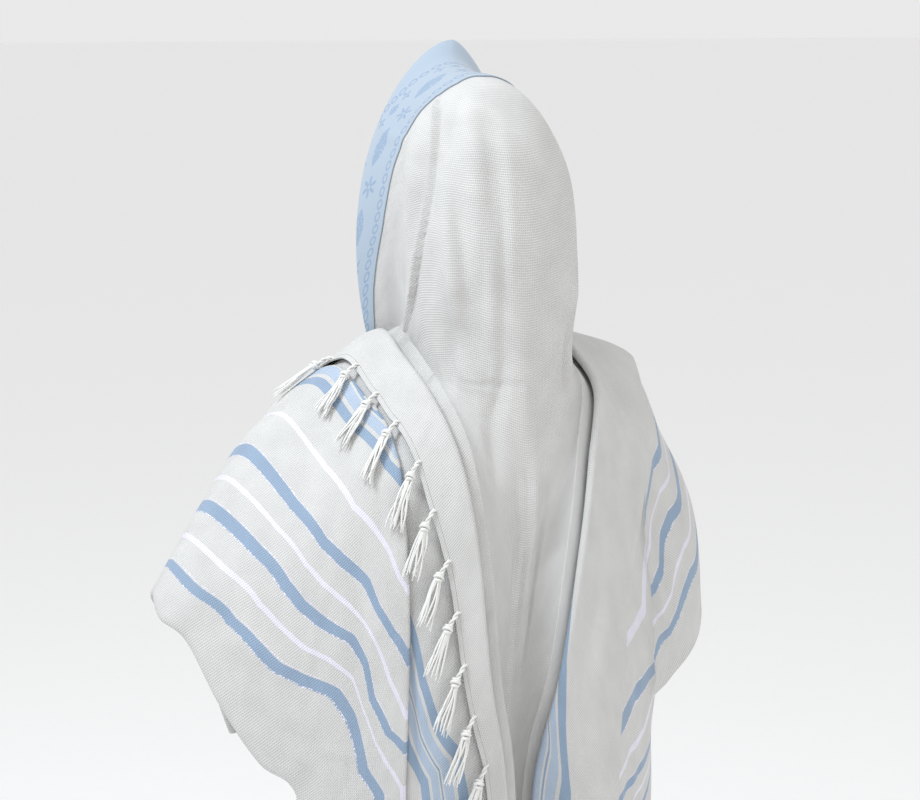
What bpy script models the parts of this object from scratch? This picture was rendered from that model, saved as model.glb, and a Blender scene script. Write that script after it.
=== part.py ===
"""A prayer shawl worn over the head and both arms, as a hollow of draped cloth.

Metres, Z up. The origin is the crown of the head, where the shawl is held. The wearer
faces -Y and the wearer's left arm is at +X. All the shawl cloth is one rectangle, which
is built as the stretches that show: the hood with the back and the inner layer, an outer
layer over each arm, and each end with its edge turned over.
"""

import math

import bmesh
import bpy
import numpy as np

WALL = 0.0018
SEAM = 0.0004
HEM_Z = -1.25
FRONT_HEM_Z = -0.70

# The arm tables are measured in a frame that is turned and tipped about CENTRE: across to
# the wearer's right, up, and depth toward the left of the back.
TURN = math.radians(28)
TIP = math.radians(10)
CENTRE = np.array((0.006, -0.003, -0.336))
ACROSS = np.array((-math.cos(TURN), math.sin(TURN), 0))
DEPTH = np.array(
    (
        math.sin(TURN) * math.cos(TIP),
        math.cos(TURN) * math.cos(TIP),
        math.sin(TIP),
    )
)
UP = np.cross(DEPTH, ACROSS)

# How far each layer's middle stands out from the arm form.
INNER_OUT = -0.005
UNDER_OUT = 0.001
OVER_OUT = 0.008
LIP_RADIUS = 0.0021
LIP_TAIL = 0.005
SLING_TAIL = 0.0015
BODY_OUT = -1  # which way the body grid's normals point

# Arm forms. A row is a line across the cloth, from the sling fold at the elbow to the
# turned fold beside the back: sling fold, arm, upper arm, blade, turned fold. Each point
# is across, up and depth in millimetres.
LEFT_ARM = (
    ("ridge", (-311, -196, 70), (-260, -112, 60), (-205, -31, 45), (-155, 8, 30), (-79, 72, 8)),
    ("behind", (-300, -218, 95), (-215, -143, 105), (-161, -70, 95), (-111, -25, 80), (-56, 50, 50)),
    ("upper", (-272, -240, 105), (-180, -183, 130), (-124, -119, 135), (-69, -59, 130), (-23, 0, 105)),
    ("middle", (-237, -304, 115), (-158, -246, 140), (-98, -186, 150), (-49, -123, 150), (3, -59, 135)),
    ("waist", (-198, -361, 115), (-128, -311, 140), (-74, -260, 152), (-29, -201, 155), (20, -152, 145)),
    ("low", (-160, -398, 110), (-104, -385, 135), (-59, -368, 148), (-20, -338, 155), (32, -275, 150)),
    ("hip", (-152, -520, 88), (-100, -510, 112), (-56, -500, 124), (-12, -470, 131), (48, -400, 128)),
)
RIGHT_ARM = (
    ("ridge", (263, -222, -130), (252, -110, -120), (213, -27, -100), (178, 40, -72), (86, 74, -30)),
    ("behind", (262, -248, -105), (254, -170, -80), (226, -90, -55), (186, -8, -25), (112, 51, 4)),
    ("upper", (251, -273, -90), (233, -214, -45), (204, -137, -12), (177, -62, 22), (134, 13, 45)),
    ("middle", (225, -303, -75), (212, -260, -30), (190, -199, 8), (163, -134, 46), (128, -56, 75)),
    ("waist", (199, -336, -60), (195, -318, -20), (182, -276, 22), (156, -225, 62), (119, -136, 88)),
    ("low", (197, -417, -50), (187, -410, 0), (168, -397, 42), (137, -370, 82), (98, -271, 98)),
    ("hip", (195, -540, -72), (183, -535, -22), (160, -525, 20), (122, -500, 59), (70, -402, 80)),
)
# Below the last row the cloth hangs: drop of the row, and how far it closes in.
HANG_ROWS = ((0.5, 0.98), (1.0, 1.03))
# In front of the ridge, from the hem up: share of the drop, metres forward at the sling
# fold and at the turned fold, then width at the left and right sling folds and at the chest.
FRONT_ROWS = (
    ("front hem", 1.0, 0.060, 0.105, 0.68, 0.88, 1.45),
    ("chest", 0.50, 0.062, 0.100, 0.78, 0.93, 1.40),
    ("front", 0.12, 0.040, 0.060, 0.95, 0.98, 1.25),
)
FOOT_COLUMN = 4.0  # where an arch of the hood stands on the arm forms
# Arches past DOME_END leave their feet less and less upright, and from SAG_START on they
# hang between them.
DOME_END = 5.5
SAG_START = 7.5
SAG_POWER = 1.5
FOLD_COLUMN = 3.92  # the turned fold of each end
FLAP_END = 3.88  # where the inner layer over an arm meets the arches

# The hood and back, as arches from the face edge to the hem. Columns: row on the arm
# forms where the arch stands, how far its foot stands out from there, its top (x, y, z in
# metres), how square it is, and how far its sides bulge.
ARCHES = (
    ("face edge", 2.48, -0.005, (-0.042, -0.112, 0.034), 1.80, 0.026),
    ("brim", 2.60, -0.006, (-0.024, -0.080, 0.014), 2.00, 0.024),
    ("crown", 2.78, -0.008, (-0.006, -0.020, 0.004), 2.20, 0.022),
    ("back of crown", 3.00, -0.012, (-0.002, 0.045, -0.005), 2.60, 0.030),
    ("back of head", 3.30, -0.012, (0.0, 0.092, -0.056), 2.60, 0.030),
    ("nape", 3.65, -0.011, (0.0, 0.116, -0.140), 2.50, 0.018),
    ("collar", 4.00, -0.012, (0.0, 0.122, -0.220), 2.30, 0.014),
    ("yoke", 4.50, -0.012, (0.0, 0.125, -0.290), 2.05, 0.012),
    ("shoulders", 5.00, -0.012, (0.0, 0.128, -0.350), 1.85, 0.010),
    ("blades", 6.00, -0.012, (0.0, 0.132, -0.425), 1.60, 0.004),
    ("back", 7.00, -0.012, (0.007, 0.126, -0.510), 1.45, 0.0),
    ("waist", 8.00, -0.012, (0.024, 0.136, -0.620), 1.40, 0.0),
    ("hips", 9.00, -0.012, (0.031, 0.148, -0.740), 1.35, 0.0),
    ("thighs", 10.00, -0.012, (0.031, 0.150, -0.990), 1.35, 0.0),
    ("hem", 11.00, -0.012, (0.033, 0.160, -1.250), 1.35, 0.0),
)
# The largest folds, each a straight run from one place to another: the row and column of
# both ends, then how far it stands out and its half width, in metres. Every layer follows.
LEFT_FOLDS = (
    ("below the elbow", 5.2, 2.50, 6.6, 1.95, -0.005, 0.044),
    ("down from it", 6.6, 1.95, 9.6, 1.30, -0.005, 0.044),
    ("side of the skirt", 8.4, 0.55, 11.0, 0.55, -0.004, 0.040),
    ("front, beside the opening", 0.0, 2.10, 2.3, 2.25, -0.004, 0.042),
    ("front, middle", 0.0, 1.20, 2.2, 1.60, 0.005, 0.044),
)
RIGHT_FOLDS = (
    ("edge of the strip", 3.8, 3.10, 6.0, 2.95, 0.003, 0.042),
    ("down from it", 6.0, 2.95, 10.6, 2.60, 0.003, 0.042),
    ("upper arm", 3.8, 2.15, 5.9, 1.90, -0.004, 0.042),
    ("side of the skirt", 8.4, 1.10, 11.0, 1.10, -0.004, 0.042),
    ("front, beside the opening", 0.0, 2.20, 2.3, 2.40, -0.004, 0.042),
    ("front, middle", 0.0, 1.10, 2.2, 1.50, 0.005, 0.044),
)
# The same for the hood and back, at arch numbers and angles.
HOOD_FOLDS = (
    ("forward flap", 2.4, 1.00, 3.9, 0.38, 0.006, 0.026),
    ("behind the flap", 3.2, 0.98, 4.4, 0.45, -0.006, 0.024),
    ("side of the head", 4.3, 0.70, 6.2, 0.75, 0.006, 0.024),
    ("end of the flap", 6.1, 0.62, 7.6, 0.32, -0.006, 0.022),
    ("across the back", 6.5, 1.22, 8.9, 0.75, -0.006, 0.028),
    ("down the back", 8.3, 1.70, 10.4, 1.80, 0.005, 0.026),
    ("right of the neck", 6.2, 2.40, 7.6, 2.54, -0.008, 0.024),
)
ARM_SPACING = (0.090, 0.065)  # metres from row to row and from column to column
ARCH_SPACING = (0.080, 0.110)  # metres from arch to arch and for each radian

# Where the pieces end on the left: row on the arm form, then the columns of the arm
# drape's pleated edge and of the turned-back edge, where the fringe starts.
LEFT_EDGES = (
    (0.0, 3.30, 3.50),
    (3.0, 3.36, 3.54),
    (4.2, 3.32, 3.47),
    (4.6, 3.24, 3.40),
    (5.0, 3.10, 3.38),
    (5.6, 3.00, 3.39),
    (6.1, 2.88, 3.40),
    (6.6, 2.68, 3.42),
    (7.1, 2.48, 3.47),
    (7.6, 2.28, 3.54),
    (8.0, 2.12, 3.62),
    (8.5, 2.00, 3.70),
    (9.0, 1.92, 3.72),
    (11.0, 1.85, 3.72),
)
# And on the right: the columns of the end's hard fold and of the turned-under edge.
RIGHT_EDGES = (
    (0.0, 3.00, 3.62),
    (3.6, 3.02, 3.62),
    (4.1, 2.99, 3.62),
    (4.6, 2.92, 3.62),
    (5.1, 2.74, 3.62),
    (5.5, 2.48, 3.62),
    (5.9, 1.92, 3.62),
    (6.5, 1.52, 3.62),
    (7.1, 0.30, 3.62),
    (7.6, 0.16, 3.62),
    (8.5, 0.12, 3.62),
    (9.5, 0.12, 3.62),
    (11.0, 0.12, 3.62),
)


def placed(row):
    """Metres in the part's frame, from a row's millimetres in the turned frame."""
    r = np.array(row, float) / 1000
    return CENTRE + r[:, :1] * ACROSS + r[:, 1:2] * UP + r[:, 2:] * DEPTH


def arm_grid(table, out):
    """The arm form's control points, from the front hem over the ridge to the back hem."""
    back = [placed(row[1:]) for row in table]
    ridge, low = back[0], back[-1]
    side = np.linspace(0, 1, len(ridge))
    rows = []
    for _, share, at_elbow, at_chest, left_width, right_width, chest_width in FRONT_ROWS:
        elbow_width = left_width if out < 0 else right_width
        p = ridge.copy()
        p[:, 0] *= elbow_width + (chest_width - elbow_width) * side**2
        p[:, 1] -= at_elbow + (at_chest - at_elbow) * side
        p[:, 2] += (FRONT_HEM_Z - ridge[:, 2]) * share
        rows.append(p)
    rows += back
    for share, width in HANG_ROWS:
        p = low.copy()
        p[:, :2] *= width
        p[:, 2] += (HEM_Z - low[:, 2]) * share
        rows.append(p)
    return np.array(rows)


def weights(t, count):
    """Where a Catmull-Rom curve of count knots reads its four knots at t, and how much."""
    i = np.clip(np.floor(t).astype(int), 0, count - 2)
    f = t - i
    return i, (
        (-f + 2 * f**2 - f**3) / 2,
        (2 - 5 * f**2 + 3 * f**3) / 2,
        (f + 4 * f**2 - 3 * f**3) / 2,
        (-(f**2) + f**3) / 2,
    )


def padded(grid):
    """The rows of a table with one more at each end, straight on."""
    return np.concatenate(
        [2 * grid[:1] - grid[1:2], grid, 2 * grid[-1:] - grid[-2:-1]]
    )


def curve(rows, t):
    """A Catmull-Rom curve through a table's rows, at each t in knots."""
    rows = np.asarray(rows, float)
    i, w = weights(np.asarray(t, float), len(rows))
    ends = padded(rows)
    return sum(ends[i + k] * w[k][..., None] for k in range(4))


def surface(grid, p, q):
    """The surface through a grid of control points, at rows p and columns q, in knots."""
    ends = padded(np.swapaxes(padded(grid), 0, 1)).swapaxes(0, 1)
    i, wp = weights(p, grid.shape[0])
    j, wq = weights(q, grid.shape[1])
    return sum(
        ends[i + a, j + b] * (wp[a] * wq[b])[..., None]
        for a in range(4)
        for b in range(4)
    )


def fold_height(table, spacing, row, column):
    """How far the folds of a table stand out at rows and columns."""
    height = np.zeros(np.broadcast(row, column).shape)
    for _, row_0, column_0, row_1, column_1, out, half_width in table:
        x, y = (row - row_0) * spacing[0], (column - column_0) * spacing[1]
        run_x, run_y = (row_1 - row_0) * spacing[0], (column_1 - column_0) * spacing[1]
        along = np.clip((x * run_x + y * run_y) / (run_x**2 + run_y**2), 0, 1)
        away = np.hypot(x - along * run_x, y - along * run_y) / half_width
        height += out * (1 + np.cos(math.pi * np.minimum(away, 1))) / 2
    return height


class Form:
    """The form under the cloth of one arm, smooth but for its largest folds.

    out is -1 for the left arm and 1 for the right, which turns its normals outward."""

    STEP = 0.01

    def __init__(self, table, folds, out):
        self.grid = arm_grid(table, out)
        self.folds = folds
        self.out = out

    def at(self, p, q, lift=0.0):
        """Points that stand lift metres out from the form at rows p and columns q."""
        p, q, lift = np.broadcast_arrays(p, q, lift)
        p, q = p.astype(float), q.astype(float)
        lift = lift + fold_height(self.folds, ARM_SPACING, p, q)
        return surface(self.grid, p, q) + self.normal(p, q) * lift[..., None]

    def slopes(self, p, q):
        """The form's directions along the rows and along the columns."""
        e = self.STEP
        down = surface(self.grid, p + e, q) - surface(self.grid, p - e, q)
        over = surface(self.grid, p, q + e) - surface(self.grid, p, q - e)
        return down / (2 * e), over / (2 * e)

    def normal(self, p, q):
        down, over = self.slopes(p, q)
        n = np.cross(over, down) * self.out
        return n / np.linalg.norm(n, axis=-1, keepdims=True)


LEFT = Form(LEFT_ARM, LEFT_FOLDS, -1)
RIGHT = Form(RIGHT_ARM, RIGHT_FOLDS, 1)


def interpolated(table, rows):
    """A table's columns after the first, at each row number."""
    t = np.array(table, float)
    return [np.interp(rows, t[:, 0], t[:, k]) for k in range(1, t.shape[1])]


def unit(v):
    return v / np.maximum(np.linalg.norm(v, axis=-1, keepdims=True), 1e-12)


def smooth_arches(r, angle):
    """The hood and back without folds."""
    table = np.array([(a[1], a[2], *a[3], a[4], a[5]) for a in ARCHES])
    row = curve(table, r)
    p, foot_out, top = row[..., 0], row[..., 1], row[..., 2:5]
    square, bulge = row[..., 5], row[..., 6]
    column = np.full_like(p, FOOT_COLUMN)
    feet = []
    for form in (LEFT, RIGHT):
        over = unit(form.slopes(p, column)[1])
        foot = form.at(p, column, INNER_OUT)
        feet.append(foot - over * foot_out[..., None])
    foot = np.where((angle < math.pi / 2)[..., None], feet[0], feet[1])
    dome_out = np.abs(np.cos(angle)) ** (2 / square)
    dome_rise = np.abs(np.sin(angle)) ** (2 / square)
    sag_out = np.abs(1 - 2 * angle / math.pi)
    sag_rise = 1 - sag_out**SAG_POWER
    below = np.clip((r - DOME_END) / (SAG_START - DOME_END), 0, 1)
    out = dome_out + (sag_out - dome_out) * below
    rise = dome_rise + (sag_rise - dome_rise) * below
    points = foot + (top - foot) * rise[..., None]
    points[..., 0] = top[..., 0] + (foot[..., 0] - top[..., 0]) * out
    points[..., 0] += bulge * np.sin(2 * angle) * np.abs(np.cos(angle))
    return points


def hood_points(r, angle):
    """Points of the hood and back: r is the arch, angle goes from the left foot to the right."""
    e = Form.STEP
    down = smooth_arches(r + e, angle) - smooth_arches(r - e, angle)
    over = smooth_arches(r, angle + e) - smooth_arches(r, angle - e)
    out = unit(np.cross(down, over))
    height = fold_height(HOOD_FOLDS, ARCH_SPACING, r, angle)
    return smooth_arches(r, angle) + out * height[..., None]


def grid_normals(points):
    """Unit normals of a grid of points."""
    return unit(np.cross(np.gradient(points, axis=1), np.gradient(points, axis=0)))


def wall(name, middle, thickness=WALL, normals=None):
    """A closed wall of cloth with this grid of points in its middle.

    Walls cut from one sheet are given its normals, so that they meet edge to edge."""
    n = grid_normals(middle) if normals is None else normals
    n = n * thickness / 2
    rows, columns = middle.shape[:2]
    verts = np.concatenate([(middle + n).reshape(-1, 3), (middle - n).reshape(-1, 3)])
    back = rows * columns
    faces = []
    for i in range(rows - 1):
        for j in range(columns - 1):
            a, b = i * columns + j, i * columns + j + 1
            c, d = b + columns, a + columns
            faces += [(a, b, c, d), (back + a, back + d, back + c, back + b)]
    rim = (
        [(0, j) for j in range(columns)]
        + [(i, columns - 1) for i in range(1, rows)]
        + [(rows - 1, j) for j in range(columns - 2, -1, -1)]
        + [(i, 0) for i in range(rows - 2, 0, -1)]
    )
    ring = [i * columns + j for i, j in rim]
    for a, b in zip(ring, ring[1:] + ring[:1]):
        faces.append((b, a, back + a, back + b))
    return add_mesh(name, verts, faces)


def add_mesh(name, verts, faces):
    mesh = bpy.data.meshes.new(name)
    mesh.from_pydata([tuple(v) for v in verts], [], faces)
    mesh.validate()
    whole = bmesh.new()
    whole.from_mesh(mesh)
    bmesh.ops.recalc_face_normals(whole, faces=whole.faces)
    whole.to_mesh(mesh)
    whole.free()
    obj = bpy.data.objects.new(name, mesh)
    bpy.context.scene.collection.objects.link(obj)
    return obj


def material(name, colour, roughness):
    m = bpy.data.materials.new(name)
    m.use_nodes = True
    shader = m.node_tree.nodes["Principled BSDF"]
    shader.inputs["Base Color"].default_value = (*colour, 1)
    shader.inputs["Roughness"].default_value = roughness
    return m


# Columns and rows of the walls.
FLAP_COLUMNS = 9
ARCH_COLUMNS = 25
BAND_ROWS = 6
BACK_ROWS = 17
FRONT_PANEL_ROWS = (0, 0.35, 0.9, 1.5, 2.1)
CORNER = 0.25  # how far a corner square reaches up from the back hem, in rows
FOLD_STEPS = 3
LEFT_DRAPE_COLUMNS = 9
LEFT_LAYER_COLUMNS = (5, 3)  # of the left end's lower and top layers
RIGHT_DRAPE_COLUMNS = 9
RIGHT_LAYER_COLUMNS = (2, 9)
# The neckband's width is measured down a line of this many points over the first arches.
BAND_ARCHES = 7
BAND_SAMPLES = 141
# Closer to a foot than this angle, the width is measured down the line at this angle.
BAND_ANGLE = 0.39
HOOD_ROWS = 10  # of the body's rows, those over the head
HOOD_END = 4.6  # the arch at which they end
# The rows at which the longest sheets are made in more than one solid.
INNER_SPLIT = 13
SHOULDER_SPLIT = 4
ELBOW_SPLIT = 19

# In columns of the arm forms: how far before its pleat the left drape starts to rise over
# the end's lower layer, over what width, and how far that layer reaches under it.
RISE_BEFORE = 1.0
RISE_WIDTH = 0.6
LOW_REACH = 0.4
# The right drape runs this far past the end's hard fold, but not past its last column.
RIGHT_REACH = 0.12
RIGHT_REACH_LAST = 3.06

# The neckband tapers toward the feet, where its outer part is folded in under the hood's
# edge: angle from a foot, width that lies on the hood.
NECKBAND_WIDTHS = (
    (0.00, 0.018),
    (0.17, 0.030),
    (0.36, 0.050),
    (0.50, 0.063),
    (0.67, 0.074),
    (0.85, 0.092),
    (1.05, 0.122),
    (1.30, 0.148),
    (1.57, 0.158),
)
NECKBAND_WALL = 0.0012
CORNER_WALL = 0.0010
BACKING = 0.0045  # width of the strip that carries a fringe
EDGE_CLEARANCE = WALL * 0.45  # keeps that strip clear of a cloth edge that curves

# A tassel's rings from its root: distance, half width along the edge, half thickness.
TASSEL = (
    (0.007, 0.0016, 0.0011),
    (0.018, 0.0016, 0.0013),
    (0.022, 0.0040, 0.0030),
    (0.027, 0.0022, 0.0018),
    (0.048, 0.0042, 0.0022),
    (0.074, 0.0026, 0.0010),
)
# Each fringe: its name, the spacing of its tassels, their thickness as a share of TASSEL's,
# how far each ring stands out from the arm form, and how much it leans out from the edge.
# The right one is pressed under the turned end, where close tassels would meet.
LEFT_FRINGE = ("fringe_left", 0.050, 1.0, (0.0125, 0.0135, 0.0145), (0.9, 0.7, 0.6, 0.4))
RIGHT_FRINGE = ("fringe_right", 0.125, 0.4, (0.0015,), (1.0, 0.5, 0.2))
# A corner cord's rings down from the corner: distance and radius, then its loose strands.
TZITZIT = (
    (0.0, 0.0030),
    (0.010, 0.0038),
    (0.020, 0.0028),
    (0.050, 0.0030),
    (0.058, 0.0042),
    (0.066, 0.0028),
    (0.096, 0.0030),
    (0.104, 0.0044),
    (0.112, 0.0036),
)
STRANDS = 8
STRAND_DROPS = (0.04, 0.16)
STRAND_OUT = 0.004
STRAND_SPREAD = 0.0012
STRAND_HALF = 0.0008


def body_rows(angle):
    """The arch number of each row of the body at one angle. The first rows lie as wide as
    the neckband, and near a foot they draw together."""
    fine = np.linspace(0, BAND_ARCHES, BAND_SAMPLES)
    inside = min(max(angle, BAND_ANGLE), math.pi - BAND_ANGLE)
    line = hood_points(fine, np.full_like(fine, inside))
    run = run_along(line)
    (width,) = interpolated(NECKBAND_WIDTHS, min(angle, math.pi - angle))
    band = np.interp(np.linspace(0, width, BAND_ROWS), run, fine)
    hood = np.linspace(band[-1], HOOD_END, HOOD_ROWS - BAND_ROWS + 1)[1:]
    last = len(ARCHES) - 1
    back = np.linspace(HOOD_END, last - CORNER, BACK_ROWS)[1:]
    return np.concatenate([band, hood, back, [last]])


def arm_rows(angle):
    """The arm form's row at each row of the body, at the foot with this angle."""
    return curve(np.array([(a[1],) for a in ARCHES]), body_rows(angle))[:, 0]


def body_grid():
    """The hood, the back and the inner layer over both arms, from fold to fold."""
    angles = np.linspace(0, math.pi, ARCH_COLUMNS)
    r = np.stack([body_rows(a) for a in angles], axis=1)
    arch = hood_points(r, np.broadcast_to(angles, r.shape))
    flaps = []
    for form, angle in ((LEFT, 0.0), (RIGHT, math.pi)):
        p = arm_rows(angle)
        q = np.linspace(0, FLAP_END, FLAP_COLUMNS)[None]
        flap = form.at(p[:, None], q, INNER_OUT)
        over = unit(form.slopes(p, np.zeros_like(p))[1])
        flap[:, 0] += over * (SLING_TAIL + SEAM)
        flaps.append(flap)
    return np.concatenate([flaps[0], arch, flaps[1][:, ::-1]], axis=1)


def drawn_in(points, edge, inside):
    """A grid whose edge row, by number, stands a seam nearer to the row inside it."""
    points = points.copy()
    points[edge] += unit(points[inside] - points[edge]) * SEAM
    return points


def stretches(name, labels, points, rows, normals=None):
    """One sheet made as a wall for each label, a seam apart at these rows."""
    normals = grid_normals(points) if normals is None else normals
    walls = []
    for label, first, last in zip(labels, [0, *rows], [*rows, len(points) - 1]):
        part = slice(first, last + 1)
        middle = drawn_in(points[part], 0, 1) if first else points[part]
        walls.append(wall(f"{name}_{label}", middle, WALL, normals[part]))
    return walls


def body_walls(body):
    """The body's stretches: hood, back and the inner layer over each arm, a seam apart."""
    normals = grid_normals(body)
    arch = slice(FLAP_COLUMNS, -FLAP_COLUMNS)
    lower = slice(HOOD_ROWS - 1, None)
    left = body[:, : FLAP_COLUMNS + 1].swapaxes(0, 1)
    right = body[:, -FLAP_COLUMNS - 1 :].swapaxes(0, 1)
    return [
        *stretches(
            "hood",
            ("front", "rear"),
            body[:HOOD_ROWS, arch],
            [BAND_ROWS - 1],
            normals[:HOOD_ROWS, arch],
        ),
        wall("back", drawn_in(body[lower, arch], 0, 1), WALL, normals[lower, arch]),
        wall(
            "left_inner_layer",
            drawn_in(left, -1, -2).swapaxes(0, 1),
            WALL,
            normals[:, : FLAP_COLUMNS + 1],
        ),
        *stretches(
            "right_inner",
            ("upper", "lower"),
            drawn_in(right, 0, 1).swapaxes(0, 1),
            [INNER_SPLIT],
            normals[:, -FLAP_COLUMNS - 1 :],
        ),
    ]


def lip(form, p, q, lift, turn, radius, tail):
    """Points that turn a wall's edge at column q under itself. turn is +1 toward the back."""
    over = unit(form.slopes(p, q)[1]) * turn
    n = form.normal(p, q)
    edge = form.at(p, q, lift)
    points = []
    for k in range(1, FOLD_STEPS + 1):
        a = math.pi * k / FOLD_STEPS
        points.append(
            edge + over * radius * math.sin(a) - n * radius * (1 - math.cos(a))
        )
    points.append(points[-1] - over * tail)
    return np.stack(points, axis=1)


def sling_fold(form, p):
    """The fold at the elbow side, from the inner layer's edge round to the outer layer."""
    radius = (UNDER_OUT - INNER_OUT) / 2
    turned = lip(form, p, np.zeros_like(p), UNDER_OUT, -1, radius, SLING_TAIL)
    return turned[:, ::-1]


def drape_rows(angle):
    """The rows of the outer pieces: the front panel, and then the body's own rows."""
    return np.concatenate([FRONT_PANEL_ROWS, arm_rows(angle)])


def left_drape_grid(p):
    pleat, _ = interpolated(LEFT_EDGES, p)
    q = pleat[:, None] * np.linspace(0, 1, LEFT_DRAPE_COLUMNS)[None]
    near = np.clip((q - pleat[:, None] + RISE_BEFORE) / RISE_WIDTH, 0, 1)
    near = near * near * (3 - 2 * near)
    flat = LEFT.at(p[:, None], q, UNDER_OUT + (OVER_OUT - UNDER_OUT) * near)
    edge = lip(LEFT, p, pleat, OVER_OUT, 1, LIP_RADIUS, LIP_TAIL)
    return np.concatenate([sling_fold(LEFT, p), flat, edge], axis=1)


def end_layers(form, low_edge, top_edge, p, low_columns, top_columns):
    """An end's lower layer, its turned fold beside the back, and its top layer."""
    fold = np.full_like(p, FOLD_COLUMN)
    share = np.linspace(0, 1, low_columns)[None]
    low = low_edge[:, None] + (FOLD_COLUMN - low_edge)[:, None] * share
    share = np.linspace(0, 1, top_columns)[None]
    top = FOLD_COLUMN + (top_edge - FOLD_COLUMN)[:, None] * share
    over = unit(form.slopes(p, fold)[1])
    n = form.normal(p, fold)
    middle = form.at(p, fold, (UNDER_OUT + OVER_OUT) / 2)
    radius = (OVER_OUT - UNDER_OUT) / 2
    turn = []
    for k in range(1, FOLD_STEPS + 1):
        a = math.pi * k / (FOLD_STEPS + 1)
        turn.append(middle + (over * math.sin(a) - n * math.cos(a)) * radius)
    return (
        form.at(p[:, None], low, UNDER_OUT),
        np.stack(turn, axis=1),
        form.at(p[:, None], top, OVER_OUT),
    )


def tube(verts, faces, base, rings):
    """Adds rings of points that run on from the base ring of vertex numbers, and a cap."""
    count = len(base)
    for ring in rings:
        new = list(range(len(verts), len(verts) + count))
        verts += list(ring)
        for k in range(count):
            m = (k + 1) % count
            faces.append((base[k], base[m], new[m], new[k]))
        base = new
    faces.append(tuple(base))


def run_along(line):
    """Distance along a line of points, from its first point."""
    return np.concatenate([[0], np.cumsum(np.linalg.norm(np.diff(line, axis=0), axis=1))])


def tassel_places(run, spacing):
    """Distances along an edge where tassels stand."""
    count = int(run[-1] / spacing)
    return (np.arange(count) + 0.5) * run[-1] / count


def fringe(name, edge, out, normal, spacing, hang, flat):
    """Tassels along an edge, rooted in a narrow strip that stands off it by a seam."""
    run = run_along(edge)
    roots = tassel_places(run, spacing)
    half = TASSEL[0][1]
    stations = [(s, None) for s in run]
    for k, s in enumerate(roots):
        stations = [t for t in stations if not s - 2 * half < t[0] < s + 2 * half]
        stations += [(s - half, k), (s + half, None)]
    stations.sort(key=lambda t: t[0])
    verts, faces = [], []
    for s, _ in stations:
        c, o, n = follow(run, edge, s), follow(run, out, s), follow(run, normal, s)
        o, n = unit(o), unit(n)
        near = EDGE_CLEARANCE + SEAM
        far = near + BACKING
        for d, h in ((near, 1), (near, -1), (far, -1), (far, 1)):
            verts.append(c + o * d + n * h * WALL / 2)
    for i in range(len(stations) - 1):
        a, b = 4 * i, 4 * (i + 1)
        for k in (0, 1, 3):
            m = (k + 1) % 4
            faces.append((a + k, a + m, b + m, b + k))
        if stations[i][1] is None:
            faces.append((a + 2, a + 3, b + 3, b + 2))
            continue
        rings = tassel_rings(
            np.mean([verts[a + 2], verts[a + 3], verts[b + 2], verts[b + 3]], axis=0),
            unit(verts[b + 2] - verts[a + 2]),
            stations[i][1],
            hang,
            flat,
        )
        tube(verts, faces, [a + 3, a + 2, b + 2, b + 3], rings)
    last = 4 * (len(stations) - 1)
    faces += [(0, 3, 2, 1), (last, last + 1, last + 2, last + 3)]
    return add_mesh(name, verts, faces)


def follow(run, vectors, s):
    return np.array([np.interp(s, run, vectors[:, k]) for k in range(3)])


def tassel_rings(root, side, number, hang, flat):
    """The rings of one tassel: hang gives its middle line and the way out of the cloth."""
    line, outs = hang(root, number, [t[0] for t in TASSEL])
    rings, before, sign = [], root, 0
    for (_, half, thick), c, n in zip(TASSEL, line, outs):
        ahead = unit(c - before)
        across = unit(np.cross(n, ahead))
        sign = sign or math.copysign(1, across @ side)
        a = across * sign * half
        b = unit(np.cross(ahead, across)) * thick * flat
        rings.append((c - a + b, c - a - b, c + a - b, c + a + b))
        before = c
    return rings


def nearest(form, point, p, q):
    """The row and column of the form nearest to a point, walked to from p and q."""
    for _ in range(4):
        pp, qq = np.array([p]), np.array([q])
        here = form.at(pp, qq)[0]
        down, over = (v[0] for v in form.slopes(pp, qq))
        step = np.linalg.lstsq(np.stack([down, over], 1), point - here, rcond=None)[0]
        p, q = p + step[0], q + step[1]
    return p, q


def draped_tassels(form, starts, lifts, lean, follows_rows):
    """A hang function: tassels that lie on a form, lean out from the edge and then drop."""

    def hang(root, number, distances):
        p, q = starts[number]
        p, q = nearest(form, root, p, q)
        line, outs, before = [], [], 0.0
        for k, distance in enumerate(distances):
            pp, qq = np.array([p]), np.array([q])
            down, over = (unit(v[0]) for v in form.slopes(pp, qq))
            n = form.normal(pp, qq)[0]
            fall = np.array((0, 0, -1.0))
            fall = down if follows_rows else unit(fall - n * (fall @ n))
            share = lean[min(k, len(lean) - 1)]
            way = unit(-over * share + fall * (1 - share))
            target = form.at(pp, qq)[0] + way * (distance - before)
            p, q = nearest(form, target, p, q)
            pp, qq = np.array([p]), np.array([q])
            line.append(form.at(pp, qq, lifts[min(k, len(lifts) - 1)])[0])
            outs.append(form.normal(pp, qq)[0])
            before = distance
        return line, outs

    return hang


def starts_along(edge, p, q, spacing):
    """The form row and column at each tassel's root."""
    run = run_along(edge)
    roots = tassel_places(run, spacing)
    return list(zip(np.interp(roots, run, p), np.interp(roots, run, q)))


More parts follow.
